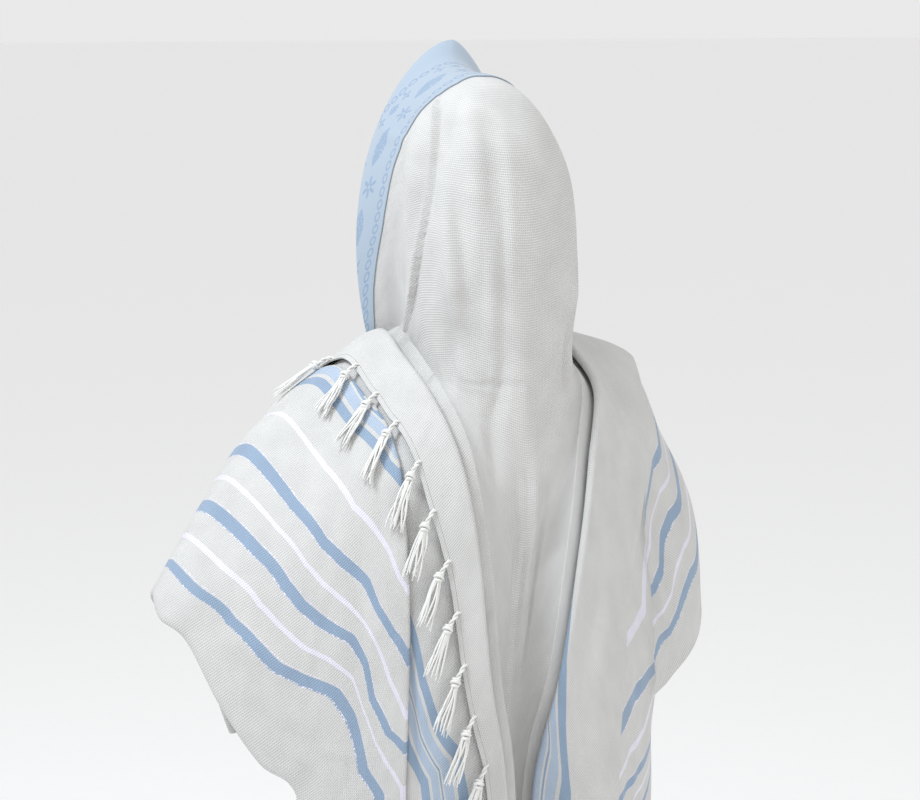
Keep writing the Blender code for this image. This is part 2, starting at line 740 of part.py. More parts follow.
def tzitzit(name, corner):
    """A knotted bunch that hangs from a corner and ends in loose strands."""
    verts, faces = [], []
    turn = 2 * math.pi * np.arange(STRANDS) / STRANDS
    ring = np.stack([np.cos(turn), np.sin(turn), 0 * turn], axis=1)
    for drop, radius in TZITZIT:
        verts += list(corner + ring * radius - np.array((0, 0, drop)))
    faces.append(tuple(range(STRANDS)))
    last = len(TZITZIT) - 1
    for i in range(last):
        for k in range(STRANDS):
            m = (k + 1) % STRANDS
            quad = [i * STRANDS + k, i * STRANDS + m]
            quad += [(i + 1) * STRANDS + m, (i + 1) * STRANDS + k]
            if i < last - 1:
                faces.append(tuple(quad))
                continue
            outward = ring[k] + ring[m]
            outward /= np.linalg.norm(outward)
            side = np.array((-outward[1], outward[0], 0))
            foot = np.mean([verts[v] for v in quad], axis=0)
            rings = []
            for step, drop in enumerate(STRAND_DROPS):
                out = STRAND_OUT + STRAND_SPREAD * step
                c = foot + outward * out - np.array((0, 0, drop))
                a, b = side * STRAND_HALF, outward * STRAND_HALF
                rings.append((c - a + b, c + a + b, c + a - b, c - a - b))
            tube(verts, faces, quad, rings)
    faces.append(tuple(last * STRANDS + k for k in range(STRANDS)))
    return add_mesh(name, verts, faces)


def main():
    for obj in list(bpy.data.objects):
        bpy.data.objects.remove(obj)
    cloth = material("cloth", (0.69, 0.68, 0.66), 0.75)
    satin = material("satin", (0.52, 0.70, 0.88), 0.35)
    thread = material("thread", (0.86, 0.85, 0.82), 0.7)

    body = body_grid()
    clothes = body_walls(body)
    band = body[:BAND_ROWS, FLAP_COLUMNS:-FLAP_COLUMNS]
    band = band + (
        grid_normals(body)[:BAND_ROWS, FLAP_COLUMNS:-FLAP_COLUMNS]
        * BODY_OUT
        * (WALL / 2 + SEAM + NECKBAND_WALL / 2)
    )
    satins = [wall("neckband", band, NECKBAND_WALL)]

    p = drape_rows(0.0)
    clothes += stretches(
        "left_drape",
        ("front", "upper", "lower"),
        left_drape_grid(p),
        [SHOULDER_SPLIT, ELBOW_SPLIT],
    )
    pleat, root = interpolated(LEFT_EDGES, p)
    left = end_layers(LEFT, pleat - LOW_REACH, root, p, *LEFT_LAYER_COLUMNS)
    clothes += stretches(
        "left_end", ("upper", "lower"), np.concatenate(left, axis=1), [ELBOW_SPLIT]
    )
    left_p, p = p, drape_rows(math.pi)
    hard, under = interpolated(RIGHT_EDGES, p)
    right = end_layers(RIGHT, under, hard, p, *RIGHT_LAYER_COLUMNS)
    edge = lip(RIGHT, p, hard, OVER_OUT, -1, LIP_RADIUS, LIP_TAIL)
    clothes.append(wall("right_end", np.concatenate([*right, edge], axis=1)))
    reach = np.minimum(hard + RIGHT_REACH, RIGHT_REACH_LAST)
    q = reach[:, None] * np.linspace(0, 1, RIGHT_DRAPE_COLUMNS)[None]
    drape = RIGHT.at(p[:, None], q, UNDER_OUT)
    drape = np.concatenate([sling_fold(RIGHT, p), drape], axis=1)
    clothes += stretches("right_drape", ("upper", "lower"), drape, [ELBOW_SPLIT])

    threads = []
    for form, rows, strip, column, how in (
        (LEFT, left_p, left[2][:, -1], root, LEFT_FRINGE),
        (RIGHT, p, right[0][:, 0], under, RIGHT_FRINGE),
    ):
        name, spacing, flat, lifts, lean = how
        over = -unit(form.slopes(rows, column)[1])
        starts = starts_along(strip, rows, column, spacing)
        hang = draped_tassels(form, starts, lifts, lean, form is RIGHT)
        normal = form.normal(rows, column)
        threads.append(fringe(name, strip, over, normal, spacing, hang, flat))

    lift = WALL / 2 + SEAM + CORNER_WALL / 2
    for side, form, at, strip in (
        ("left", LEFT, left_p, left[2]),
        ("right", RIGHT, p, right[0]),
    ):
        outward = form.normal(at, np.full_like(at, FOLD_COLUMN))[:, None] * lift
        inner = strip
        for where, rows in (("front", slice(0, 2)), ("back", slice(-2, None))):
            satins.append(
                wall(f"corner_{side}_{where}", (inner + outward)[rows], CORNER_WALL)
            )
            corner = inner[rows][0 if where == "front" else -1].mean(axis=0)
            drop = np.array((0, 0, SEAM))
            threads.append(tzitzit(f"tzitzit_{side}_{where}", corner - drop))

    for pieces, kind in ((clothes, cloth), (satins, satin), (threads, thread)):
        for piece in pieces:
            piece.data.materials.append(kind)


if __name__ == "__main__":
    main()
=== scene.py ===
"""A prayer shawl worn over the head and both arms: its cloth, neckband, fringes and cords.

Run as a script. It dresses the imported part, in metres and in the part's own frame: Z up,
the origin at the crown of the head, the wearer facing -Y with the left arm at +X.
"""

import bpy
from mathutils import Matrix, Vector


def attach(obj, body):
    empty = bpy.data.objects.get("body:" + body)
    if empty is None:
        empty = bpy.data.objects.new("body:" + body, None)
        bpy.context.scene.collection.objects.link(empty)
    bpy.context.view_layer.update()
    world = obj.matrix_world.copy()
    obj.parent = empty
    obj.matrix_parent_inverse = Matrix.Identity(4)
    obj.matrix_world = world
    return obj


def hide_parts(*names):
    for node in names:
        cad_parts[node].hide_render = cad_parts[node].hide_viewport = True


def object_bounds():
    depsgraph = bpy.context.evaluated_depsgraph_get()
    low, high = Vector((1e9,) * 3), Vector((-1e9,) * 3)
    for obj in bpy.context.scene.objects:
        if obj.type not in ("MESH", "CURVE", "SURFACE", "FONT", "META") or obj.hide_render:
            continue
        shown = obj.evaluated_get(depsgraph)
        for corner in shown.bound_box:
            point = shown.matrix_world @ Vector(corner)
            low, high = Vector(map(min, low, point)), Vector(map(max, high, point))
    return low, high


bl_info = {
    "name": "Draped Prayer Shawl",
    "version": (1, 0, 0),
    "blender": (4, 5, 0),
    "location": "View3D > Sidebar > Shawl",
    "description": "Dresses the shawl part in woven cloth, a satin neckband and fringes",
    "category": "Add Mesh",
}

import math

import bmesh
import bpy
import numpy as np
from mathutils import Vector

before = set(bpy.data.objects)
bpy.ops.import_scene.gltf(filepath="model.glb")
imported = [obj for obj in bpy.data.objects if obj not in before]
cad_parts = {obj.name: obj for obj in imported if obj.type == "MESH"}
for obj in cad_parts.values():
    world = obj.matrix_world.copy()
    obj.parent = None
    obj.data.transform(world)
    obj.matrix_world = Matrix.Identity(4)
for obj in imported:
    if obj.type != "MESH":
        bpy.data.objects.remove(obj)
CAD_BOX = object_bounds()
BODY = "root"

WALL = 0.0018
SEAM = 0.0004
HEM_Z = -1.25
FRONT_HEM_Z = -0.70

# The arm tables are measured in a frame that is turned and tipped about CENTRE: across to
# the wearer's right, up, and depth toward the left of the back.
TURN = math.radians(28)
TIP = math.radians(10)
CENTRE = np.array((0.006, -0.003, -0.336))
ACROSS = np.array((-math.cos(TURN), math.sin(TURN), 0))
DEPTH = np.array((math.sin(TURN) * math.cos(TIP), math.cos(TURN) * math.cos(TIP), math.sin(TIP)))
UP = np.cross(DEPTH, ACROSS)

# How far each layer's middle stands out from the arm form.
INNER_OUT = -0.005
UNDER_OUT = 0.001
OVER_OUT = 0.008
LIP_RADIUS = 0.0021
LIP_TAIL = 0.005
SLING_TAIL = 0.0015
BODY_OUT = -1  # which way the body grid's normals point

# Arm forms. A row is a line across the cloth, from the sling fold at the elbow to the
# turned fold beside the back: sling fold, arm, upper arm, blade, turned fold. Each point
# is across, up and depth in millimetres.
LEFT_ARM = (
    ("ridge", (-311, -196, 70), (-260, -112, 60), (-205, -31, 45), (-155, 8, 30), (-79, 72, 8)),
    ("behind", (-300, -218, 95), (-215, -143, 105), (-161, -70, 95), (-111, -25, 80), (-56, 50, 50)),
    ("upper", (-272, -240, 105), (-180, -183, 130), (-124, -119, 135), (-69, -59, 130), (-23, 0, 105)),
    ("middle", (-237, -304, 115), (-158, -246, 140), (-98, -186, 150), (-49, -123, 150), (3, -59, 135)),
    ("waist", (-198, -361, 115), (-128, -311, 140), (-74, -260, 152), (-29, -201, 155), (20, -152, 145)),
    ("low", (-160, -398, 110), (-104, -385, 135), (-59, -368, 148), (-20, -338, 155), (32, -275, 150)),
    ("hip", (-152, -520, 88), (-100, -510, 112), (-56, -500, 124), (-12, -470, 131), (48, -400, 128)),
)
RIGHT_ARM = (
    ("ridge", (263, -222, -130), (252, -110, -120), (213, -27, -100), (178, 40, -72), (86, 74, -30)),
    ("behind", (262, -248, -105), (254, -170, -80), (226, -90, -55), (186, -8, -25), (112, 51, 4)),
    ("upper", (251, -273, -90), (233, -214, -45), (204, -137, -12), (177, -62, 22), (134, 13, 45)),
    ("middle", (225, -303, -75), (212, -260, -30), (190, -199, 8), (163, -134, 46), (128, -56, 75)),
    ("waist", (199, -336, -60), (195, -318, -20), (182, -276, 22), (156, -225, 62), (119, -136, 88)),
    ("low", (197, -417, -50), (187, -410, 0), (168, -397, 42), (137, -370, 82), (98, -271, 98)),
    ("hip", (195, -540, -72), (183, -535, -22), (160, -525, 20), (122, -500, 59), (70, -402, 80)),
)
# Below the last row the cloth hangs: drop of the row, and how far it closes in.
HANG_ROWS = ((0.5, 0.98), (1.0, 1.03))
# In front of the ridge, from the hem up: share of the drop, metres forward at the sling
# fold and at the turned fold, then width at the left and right sling folds and at the chest.
FRONT_ROWS = (
    ("front hem", 1.0, 0.060, 0.105, 0.68, 0.88, 1.45),
    ("chest", 0.50, 0.062, 0.100, 0.78, 0.93, 1.40),
    ("front", 0.12, 0.040, 0.060, 0.95, 0.98, 1.25),
)
FOOT_COLUMN = 4.0  # where an arch of the hood stands on the arm forms
# Arches past DOME_END leave their feet less and less upright, and from SAG_START on they
# hang between them.
DOME_END = 5.5
SAG_START = 7.5
SAG_POWER = 1.5
FOLD_COLUMN = 3.92  # the turned fold of each end
FLAP_END = 3.88  # where the inner layer over an arm meets the arches

# The hood and back, as arches from the face edge to the hem. Columns: row on the arm
# forms where the arch stands, how far its foot stands out from there, its top (x, y, z in
# metres), how square it is, and how far its sides bulge.
ARCHES = (
    ("face edge", 2.48, -0.005, (-0.042, -0.112, 0.034), 1.80, 0.026),
    ("brim", 2.60, -0.006, (-0.024, -0.080, 0.014), 2.00, 0.024),
    ("crown", 2.78, -0.008, (-0.006, -0.020, 0.004), 2.20, 0.022),
    ("back of crown", 3.00, -0.012, (-0.002, 0.045, -0.005), 2.60, 0.030),
    ("back of head", 3.30, -0.012, (0.0, 0.092, -0.056), 2.60, 0.030),
    ("nape", 3.65, -0.011, (0.0, 0.116, -0.140), 2.50, 0.018),
    ("collar", 4.00, -0.012, (0.0, 0.122, -0.220), 2.30, 0.014),
    ("yoke", 4.50, -0.012, (0.0, 0.125, -0.290), 2.05, 0.012),
    ("shoulders", 5.00, -0.012, (0.0, 0.128, -0.350), 1.85, 0.010),
    ("blades", 6.00, -0.012, (0.0, 0.132, -0.425), 1.60, 0.004),
    ("back", 7.00, -0.012, (0.007, 0.126, -0.510), 1.45, 0.0),
    ("waist", 8.00, -0.012, (0.024, 0.136, -0.620), 1.40, 0.0),
    ("hips", 9.00, -0.012, (0.031, 0.148, -0.740), 1.35, 0.0),
    ("thighs", 10.00, -0.012, (0.031, 0.150, -0.990), 1.35, 0.0),
    ("hem", 11.00, -0.012, (0.033, 0.160, -1.250), 1.35, 0.0),
)
# The folds, each a straight run from one place to another: the row and column of both ends,
# then how far it stands out and its half width, in metres. Every layer follows.
FRONT_CREASES = (  # over both arms
    ("front, upper", 0.9, 0.60, 1.9, 0.95, 0.002, 0.016),
    ("front, lower", 0.0, 0.55, 1.1, 0.75, -0.002, 0.015),
)
LEFT_FOLDS = (
    ("below the elbow", 5.2, 2.50, 6.6, 1.95, -0.005, 0.044),
    ("down from it", 6.6, 1.95, 9.6, 1.30, -0.005, 0.044),
    ("side of the skirt", 8.4, 0.55, 11.0, 0.55, -0.004, 0.040),
    ("front, beside the opening", 0.0, 2.10, 2.3, 2.25, -0.004, 0.042),
    ("front, middle", 0.0, 1.20, 2.2, 1.60, 0.005, 0.044),
    # Finer creases, which the solids leave out.
    ("drape, down from the hood", 5.0, 2.62, 6.5, 2.52, -0.003, 0.013),
    ("drape, further down", 6.5, 2.52, 8.6, 2.40, -0.003, 0.014),
    ("middle of the drape, high", 4.4, 2.25, 6.3, 1.72, 0.002, 0.018),
    ("middle of the drape, low", 6.2, 1.80, 8.0, 0.98, -0.0025, 0.017),
    ("elbow, upper", 5.2, 0.30, 6.3, 0.85, 0.002, 0.016),
    ("elbow, lower", 6.0, 0.15, 7.3, 0.55, -0.0025, 0.016),
    ("hang, rear", 7.4, 0.90, 9.2, 0.78, 0.0025, 0.016),
    ("hang, front", 7.0, 0.35, 8.4, 0.22, -0.002, 0.014),
    ("packed, long", 6.9, 0.48, 5.6, 1.55, 0.0014, 0.007),
    ("packed, lower", 7.3, 0.62, 7.7, 1.15, 0.0014, 0.007),
    ("packed, upright", 7.5, 0.98, 8.3, 0.92, -0.0012, 0.007),
    ("strip, first", 5.25, 3.40, 5.05, 4.00, 0.0012, 0.006),
    ("strip, second", 5.42, 3.42, 5.22, 4.00, -0.0011, 0.006),
    *FRONT_CREASES,
)
RIGHT_FOLDS = (
    ("edge of the strip", 3.8, 3.10, 6.0, 2.95, 0.003, 0.042),
    ("down from it", 6.0, 2.95, 10.6, 2.60, 0.003, 0.042),
    ("upper arm", 3.8, 2.15, 5.9, 1.90, -0.004, 0.042),
    ("side of the skirt", 8.4, 1.10, 11.0, 1.10, -0.004, 0.042),
    ("front, beside the opening", 0.0, 2.20, 2.3, 2.40, -0.004, 0.042),
    ("front, middle", 0.0, 1.10, 2.2, 1.50, 0.005, 0.044),
    # Finer creases, which the solids leave out.
    ("arm, first", 4.05, 2.50, 5.1, 2.22, -0.0018, 0.010),
    ("arm, second", 4.2, 2.05, 5.6, 2.02, -0.0020, 0.010),
    ("arm, third", 4.0, 1.50, 5.5, 1.30, 0.0022, 0.016),
    ("star, up and back", 6.6, 1.10, 5.8, 1.50, 0.0020, 0.009),
    ("star, up and forward", 6.6, 1.10, 6.0, 0.62, 0.0018, 0.008),
    ("star, forward", 6.6, 1.10, 6.7, 0.45, -0.0018, 0.009),
    ("star, down", 6.6, 1.10, 7.3, 1.55, 0.0020, 0.010),
    ("strip, across", 5.75, 3.90, 5.55, 3.05, 0.0013, 0.006),
    ("strip, long", 6.2, 3.40, 8.8, 3.25, 0.0018, 0.018),
    ("beyond the strip", 6.8, 2.20, 8.6, 2.02, -0.0022, 0.014),
    ("hang, rear", 7.6, 1.60, 9.6, 1.70, -0.0025, 0.016),
    *FRONT_CREASES,
)
# The same for the hood and back, at arch numbers and angles.
HOOD_FOLDS = (
    ("forward flap", 2.4, 1.00, 3.9, 0.38, 0.006, 0.026),
    ("behind the flap", 3.2, 0.98, 4.4, 0.45, -0.006, 0.024),
    ("side of the head", 4.3, 0.70, 6.2, 0.75, 0.006, 0.024),
    ("end of the flap", 6.1, 0.62, 7.6, 0.32, -0.006, 0.022),
    ("across the back", 6.5, 1.22, 8.9, 0.75, -0.006, 0.028),
    ("down the back", 8.3, 1.70, 10.4, 1.80, 0.005, 0.026),
    ("right of the neck", 6.2, 2.40, 7.6, 2.54, -0.008, 0.024),
    # Finer creases, which the solids leave out.
    ("band, packed", 0.30, 0.88, 3.05, 0.77, 0.0014, 0.006),
    ("top, left", 3.0, 1.25, 3.9, 0.92, -0.0035, 0.014),
    ("ridge beside the overlap", 4.15, 0.80, 6.1, 0.77, 0.0055, 0.012),
    ("across the nape", 7.28, 0.46, 7.15, 1.66, -0.0014, 0.007),
    ("long, below the ridge", 6.6, 1.16, 7.8, 0.86, 0.0022, 0.012),
    ("beside the right foot", 5.4, 2.30, 7.2, 2.52, -0.0024, 0.014),
    ("right of the crown", 3.6, 2.20, 5.3, 2.35, 0.0024, 0.016),
    ("down from the crown", 3.3, 1.20, 5.6, 1.02, 0.0045, 0.020),
    ("behind it", 3.4, 1.42, 6.4, 1.22, -0.0040, 0.020),
    ("toward the nape", 4.6, 1.30, 7.0, 1.05, 0.0035, 0.016),
    ("low back, left", 8.6, 1.25, 10.6, 1.35, -0.0025, 0.018),
    ("low back, right", 8.8, 2.10, 10.8, 2.05, -0.0025, 0.018),
)
ARM_SPACING = (0.090, 0.065)  # metres from row to row and from column to column
ARCH_SPACING = (0.080, 0.110)  # metres from arch to arch and for each radian

# Where the pieces end on the left: row on the arm form, then the columns of the arm
# drape's pleated edge and of the turned-back edge, where the fringe starts.
LEFT_EDGES = (
    (0.0, 3.30, 3.50), (3.0, 3.36, 3.54), (4.2, 3.32, 3.47), (4.6, 3.24, 3.40), (5.0, 3.10, 3.38),
    (5.6, 3.00, 3.39), (6.1, 2.88, 3.40), (6.6, 2.68, 3.42), (7.1, 2.48, 3.47), (7.6, 2.28, 3.54),
    (8.0, 2.12, 3.62), (8.5, 2.00, 3.70), (9.0, 1.92, 3.72), (11.0, 1.85, 3.72),
)
# And on the right: the columns of the end's hard fold and of the turned-under edge.
RIGHT_UNDER = 3.62
RIGHT_EDGES = tuple(
    (row, hard, RIGHT_UNDER)
    for row, hard in (
        (0.0, 3.00), (3.6, 3.02), (4.1, 2.99), (4.6, 2.92), (5.1, 2.74), (5.5, 2.48),
        (5.9, 1.92), (6.5, 1.52), (7.1, 0.30), (7.6, 0.16), (8.5, 0.12),
    )
)


def placed(row):
    """Metres in the part's frame, from a row's millimetres in the turned frame."""
    r = np.array(row, float) / 1000
    return CENTRE + r[:, :1] * ACROSS + r[:, 1:2] * UP + r[:, 2:] * DEPTH


def arm_grid(table, out):
    """The arm form's control points, from the front hem over the ridge to the back hem."""
    back = [placed(row[1:]) for row in table]
    ridge, low = back[0], back[-1]
    side = np.linspace(0, 1, len(ridge))
    rows = []
    for _, share, at_elbow, at_chest, left_width, right_width, chest_width in FRONT_ROWS:
        elbow_width = left_width if out < 0 else right_width
        p = ridge.copy()
        p[:, 0] *= elbow_width + (chest_width - elbow_width) * side**2
        p[:, 1] -= at_elbow + (at_chest - at_elbow) * side
        p[:, 2] += (FRONT_HEM_Z - ridge[:, 2]) * share
        rows.append(p)
    rows += back
    for share, width in HANG_ROWS:
        p = low.copy()
        p[:, :2] *= width
        p[:, 2] += (HEM_Z - low[:, 2]) * share
        rows.append(p)
    return np.array(rows)


def weights(t, count):
    """Where a Catmull-Rom curve of count knots reads its four knots at t, and how much."""
    i = np.clip(np.floor(t).astype(int), 0, count - 2)
    f = t - i
    return i, (
        (-f + 2 * f**2 - f**3) / 2,
        (2 - 5 * f**2 + 3 * f**3) / 2,
        (f + 4 * f**2 - 3 * f**3) / 2,
        (-(f**2) + f**3) / 2,
    )


def padded(grid):
    """The rows of a table with one more at each end, straight on."""
    return np.concatenate([2 * grid[:1] - grid[1:2], grid, 2 * grid[-1:] - grid[-2:-1]])


def curve(rows, t):
    """A Catmull-Rom curve through a table's rows, at each t in knots."""
    rows = np.asarray(rows, float)
    i, w = weights(np.asarray(t, float), len(rows))
    ends = padded(rows)
    return sum(ends[i + k] * w[k][..., None] for k in range(4))


def surface(grid, p, q):
    """The surface through a grid of control points, at rows p and columns q, in knots."""
    ends = padded(np.swapaxes(padded(grid), 0, 1)).swapaxes(0, 1)
    i, wp = weights(p, grid.shape[0])
    j, wq = weights(q, grid.shape[1])
    return sum(
        ends[i + a, j + b] * (wp[a] * wq[b])[..., None]
        for a in range(4)
        for b in range(4)
    )


def fold_height(table, spacing, row, column):
    """How far the folds of a table stand out at rows and columns."""
    height = np.zeros(np.broadcast(row, column).shape)
    for _, row_0, column_0, row_1, column_1, out, half_width in table:
        x, y = (row - row_0) * spacing[0], (column - column_0) * spacing[1]
        run_x, run_y = (row_1 - row_0) * spacing[0], (column_1 - column_0) * spacing[1]
        along = np.clip((x * run_x + y * run_y) / (run_x**2 + run_y**2), 0, 1)
        away = np.hypot(x - along * run_x, y - along * run_y) / half_width
        taper = np.sin(math.pi * np.clip(along, 0.02, 0.98)) ** 0.6
        height += out * taper * (1 + np.cos(math.pi * np.minimum(away, 1))) / 2
    return height


class Form:
    """The form under the cloth of one arm, smooth but for its folds.

    out is -1 for the left arm and 1 for the right, which turns its normals outward."""

    STEP = 0.01

    def __init__(self, table, folds, out):
        self.grid = arm_grid(table, out)
        self.folds = folds
        self.out = out

    def at(self, p, q, lift=0.0):
        """Points that stand lift metres out from the form at rows p and columns q."""
        p, q, lift = np.broadcast_arrays(p, q, lift)
        p, q = p.astype(float), q.astype(float)
        lift = lift + fold_height(self.folds, ARM_SPACING, p, q)
        return surface(self.grid, p, q) + self.normal(p, q) * lift[..., None]

    def slopes(self, p, q):
        """The form's directions along the rows and along the columns."""
        e = self.STEP
        down = surface(self.grid, p + e, q) - surface(self.grid, p - e, q)
        over = surface(self.grid, p, q + e) - surface(self.grid, p, q - e)
        return down / (2 * e), over / (2 * e)

    def normal(self, p, q):
        down, over = self.slopes(p, q)
        n = np.cross(over, down) * self.out
        return n / np.linalg.norm(n, axis=-1, keepdims=True)


LEFT = Form(LEFT_ARM, LEFT_FOLDS, -1)
RIGHT = Form(RIGHT_ARM, RIGHT_FOLDS, 1)


def interpolated(table, rows):
    """A table's columns after the first, at each row number."""
    t = np.array(table, float)
    return [np.interp(rows, t[:, 0], t[:, k]) for k in range(1, t.shape[1])]


def unit(v):
    return v / np.maximum(np.linalg.norm(v, axis=-1, keepdims=True), 1e-12)


def smooth_arches(r, angle):
    """The hood and back without folds."""
    table = np.array([(a[1], a[2], *a[3], a[4], a[5]) for a in ARCHES])
    row = curve(table, r)
    p, foot_out, top = row[..., 0], row[..., 1], row[..., 2:5]
    square, bulge = row[..., 5], row[..., 6]
    column = np.full_like(p, FOOT_COLUMN)
    feet = []
    for form in (LEFT, RIGHT):
        over = unit(form.slopes(p, column)[1])
        foot = form.at(p, column, INNER_OUT)
        feet.append(foot - over * foot_out[..., None])
    foot = np.where((angle < math.pi / 2)[..., None], feet[0], feet[1])
    dome_out = np.abs(np.cos(angle)) ** (2 / square)
    dome_rise = np.abs(np.sin(angle)) ** (2 / square)
    sag_out = np.abs(1 - 2 * angle / math.pi)
    sag_rise = 1 - sag_out**SAG_POWER
    below = np.clip((r - DOME_END) / (SAG_START - DOME_END), 0, 1)
    out = dome_out + (sag_out - dome_out) * below
    rise = dome_rise + (sag_rise - dome_rise) * below
    points = foot + (top - foot) * rise[..., None]
    points[..., 0] = top[..., 0] + (foot[..., 0] - top[..., 0]) * out
    points[..., 0] += bulge * np.sin(2 * angle) * np.abs(np.cos(angle))
    return points


def hood_points(r, angle):
    """Points of the hood and back: r is the arch, angle goes from the left foot to the right."""
    e = Form.STEP
    down = smooth_arches(r + e, angle) - smooth_arches(r - e, angle)
    over = smooth_arches(r, angle + e) - smooth_arches(r, angle - e)
    out = unit(np.cross(down, over))
    height = fold_height(HOOD_FOLDS, ARCH_SPACING, r, angle)
    return smooth_arches(r, angle) + out * height[..., None]


def grid_normals(points):
    """Unit normals of a grid of points."""
    return unit(np.cross(np.gradient(points, axis=1), np.gradient(points, axis=0)))


# Columns and rows of the solids, which the scene's cloth splits further.
FLAP_COLUMNS = 9
ARCH_COLUMNS = 25
BAND_ROWS = 6
BACK_ROWS = 17
FRONT_PANEL_ROWS = (0, 0.35, 0.9, 1.5, 2.1)
CORNER = 0.25  # how far a corner square reaches up from the back hem, in rows
FOLD_STEPS = 3
LEFT_DRAPE_COLUMNS = 9
LEFT_LAYER_COLUMNS = (5, 3)  # of the left end's lower and top layers
RIGHT_DRAPE_COLUMNS = 9
RIGHT_LAYER_COLUMNS = (2, 9)
# The neckband's width is measured down a line of this many points over the first arches.
BAND_ARCHES = 7
BAND_SAMPLES = 141
# Closer to a foot than this angle, the rows keep to the arches that they have reached.
BAND_ANGLE = 0.39
HOOD_ROWS = 10  # of the body's rows, those over the head
HOOD_END = 4.6  # the arch at which they end

# In columns of the arm forms: how far before its pleat the left drape starts to rise over
# the end's lower layer, over what width, and how far that layer reaches under it.
RISE_BEFORE = 1.0
RISE_WIDTH = 0.6
LOW_REACH = 0.4
# The right drape runs this far past the end's hard fold, but not past its last column.
RIGHT_REACH = 0.12
RIGHT_REACH_LAST = 3.06

# The neckband tapers toward the feet, where its outer part is folded in under the hood's
# edge: angle from a foot, width that lies on the hood.
NECKBAND_WIDTHS = (
    (0.00, 0.018), (0.17, 0.030), (0.36, 0.050), (0.50, 0.063), (0.67, 0.074),
    (0.85, 0.092), (1.05, 0.122), (1.30, 0.148), (1.57, 0.158),
)
NECKBAND_WALL = 0.0012
CORNER_WALL = 0.0010
BACKING = 0.0045  # width of the strip that carries a fringe
EDGE_CLEARANCE = WALL * 0.45  # keeps that strip clear of a cloth edge that curves

TASSEL_DROPS = (0.007, 0.018, 0.022, 0.027, 0.048, 0.074)  # along a tassel, from its root
# Each fringe: the spacing of its tassels, how thick they are as a share, how far they stand
# out from the arm form, and how much they lean out from the edge, from the root down. The
# right one is pressed under the turned end, where close tassels would meet.
LEFT_FRINGE = (0.050, 1.0, (0.0125, 0.0135, 0.0145), (0.9, 0.7, 0.6, 0.4))
RIGHT_FRINGE = (0.125, 0.4, (0.0015,), (1.0, 0.5, 0.2))


def body_rows(angle):
    """The arch number of each row of the body at one angle. The first rows lie as wide as
    the neckband, and near a foot they draw together."""
    fine = np.linspace(0, BAND_ARCHES, BAND_SAMPLES)
    inside = min(max(angle, BAND_ANGLE), math.pi - BAND_ANGLE)
    line = hood_points(fine, np.full_like(fine, inside))
    run = run_along(line)
    (width,) = interpolated(NECKBAND_WIDTHS, min(angle, math.pi - angle))
    band = np.interp(np.linspace(0, width, BAND_ROWS), run, fine)
    hood = np.linspace(band[-1], HOOD_END, HOOD_ROWS - BAND_ROWS + 1)[1:]
    last = len(ARCHES) - 1
    back = np.linspace(HOOD_END, last - CORNER, BACK_ROWS)[1:]
    return np.concatenate([band, hood, back, [last]])


def arm_rows(angle):
    """The arm form's row at each row of the body, at the foot with this angle."""
    return curve(np.array([(a[1],) for a in ARCHES]), body_rows(angle))[:, 0]


def eased(share):
    """A share from 0 to 1 that starts and ends softly."""
    share = np.clip(share, 0, 1)
    return share * share * (3 - 2 * share)


def lip(form, p, q, lift, turn, radius, tail):
    """Points that turn a wall's edge at column q under itself. turn is +1 toward the back."""
    over = unit(form.slopes(p, q)[1]) * turn
    n = form.normal(p, q)
    edge = form.at(p, q, lift)
    points = []
    for k in range(1, FOLD_STEPS + 1):
        a = math.pi * k / FOLD_STEPS
        points.append(edge + over * radius * math.sin(a) - n * radius * (1 - math.cos(a)))
    points.append(points[-1] - over * tail)
    return np.stack(points, axis=1)


def sling_fold(form, p):
    """The fold at the elbow side, from the inner layer's edge round to the outer layer."""
    radius = (UNDER_OUT - INNER_OUT) / 2
    turned = lip(form, p, np.zeros_like(p), UNDER_OUT, -1, radius, SLING_TAIL)
    return turned[:, ::-1]


def between(start, end, count):
    """Columns spread evenly from one edge to another, at each row."""
    return start[:, None] + (end - start)[:, None] * np.linspace(0, 1, count)


def end_layers(form, low_edge, top_edge, p, low_count, top_count):
    """An end's lower layer, its turned fold beside the back, and its top layer."""
    fold = np.full_like(p, FOLD_COLUMN)
    over = unit(form.slopes(p, fold)[1])
    n = form.normal(p, fold)
    middle = form.at(p, fold, (UNDER_OUT + OVER_OUT) / 2)
    radius = (OVER_OUT - UNDER_OUT) / 2
    turn = []
    for k in range(1, FOLD_STEPS + 1):
        a = math.pi * k / (FOLD_STEPS + 1)
        turn.append(middle + (over * math.sin(a) - n * math.cos(a)) * radius)
    low, top = between(low_edge, fold, low_count), between(fold, top_edge, top_count)
    p = p[:, None]
    return form.at(p, low, UNDER_OUT), np.stack(turn, axis=1), form.at(p, top, OVER_OUT)


def run_along(line):
    """Distance along a line of points, from its first point."""
    return np.concatenate([[0], np.cumsum(np.linalg.norm(np.diff(line, axis=0), axis=1))])


def follow(run, vectors, s):
    """A line of vectors, read at distance s along a run."""
    return np.array([np.interp(s, run, vectors[:, k]) for k in range(3)])


def nearest(form, point, p, q):
    """The row and column of the form nearest to a point, walked to from p and q."""
    for _ in range(4):
        gap = point - form.at(p, q)
        step = np.linalg.lstsq(np.stack(form.slopes(p, q), 1), gap, rcond=None)[0]
        p, q = p + step[0], q + step[1]
    return p, q


# ---- Finer grids than the solids' ----

ROW_SPLIT = 8  # parts that each row of the solids is split into
ARCH_SPLIT = 7
FLAP_SPLIT = 3
COLUMN_SPLIT = 8
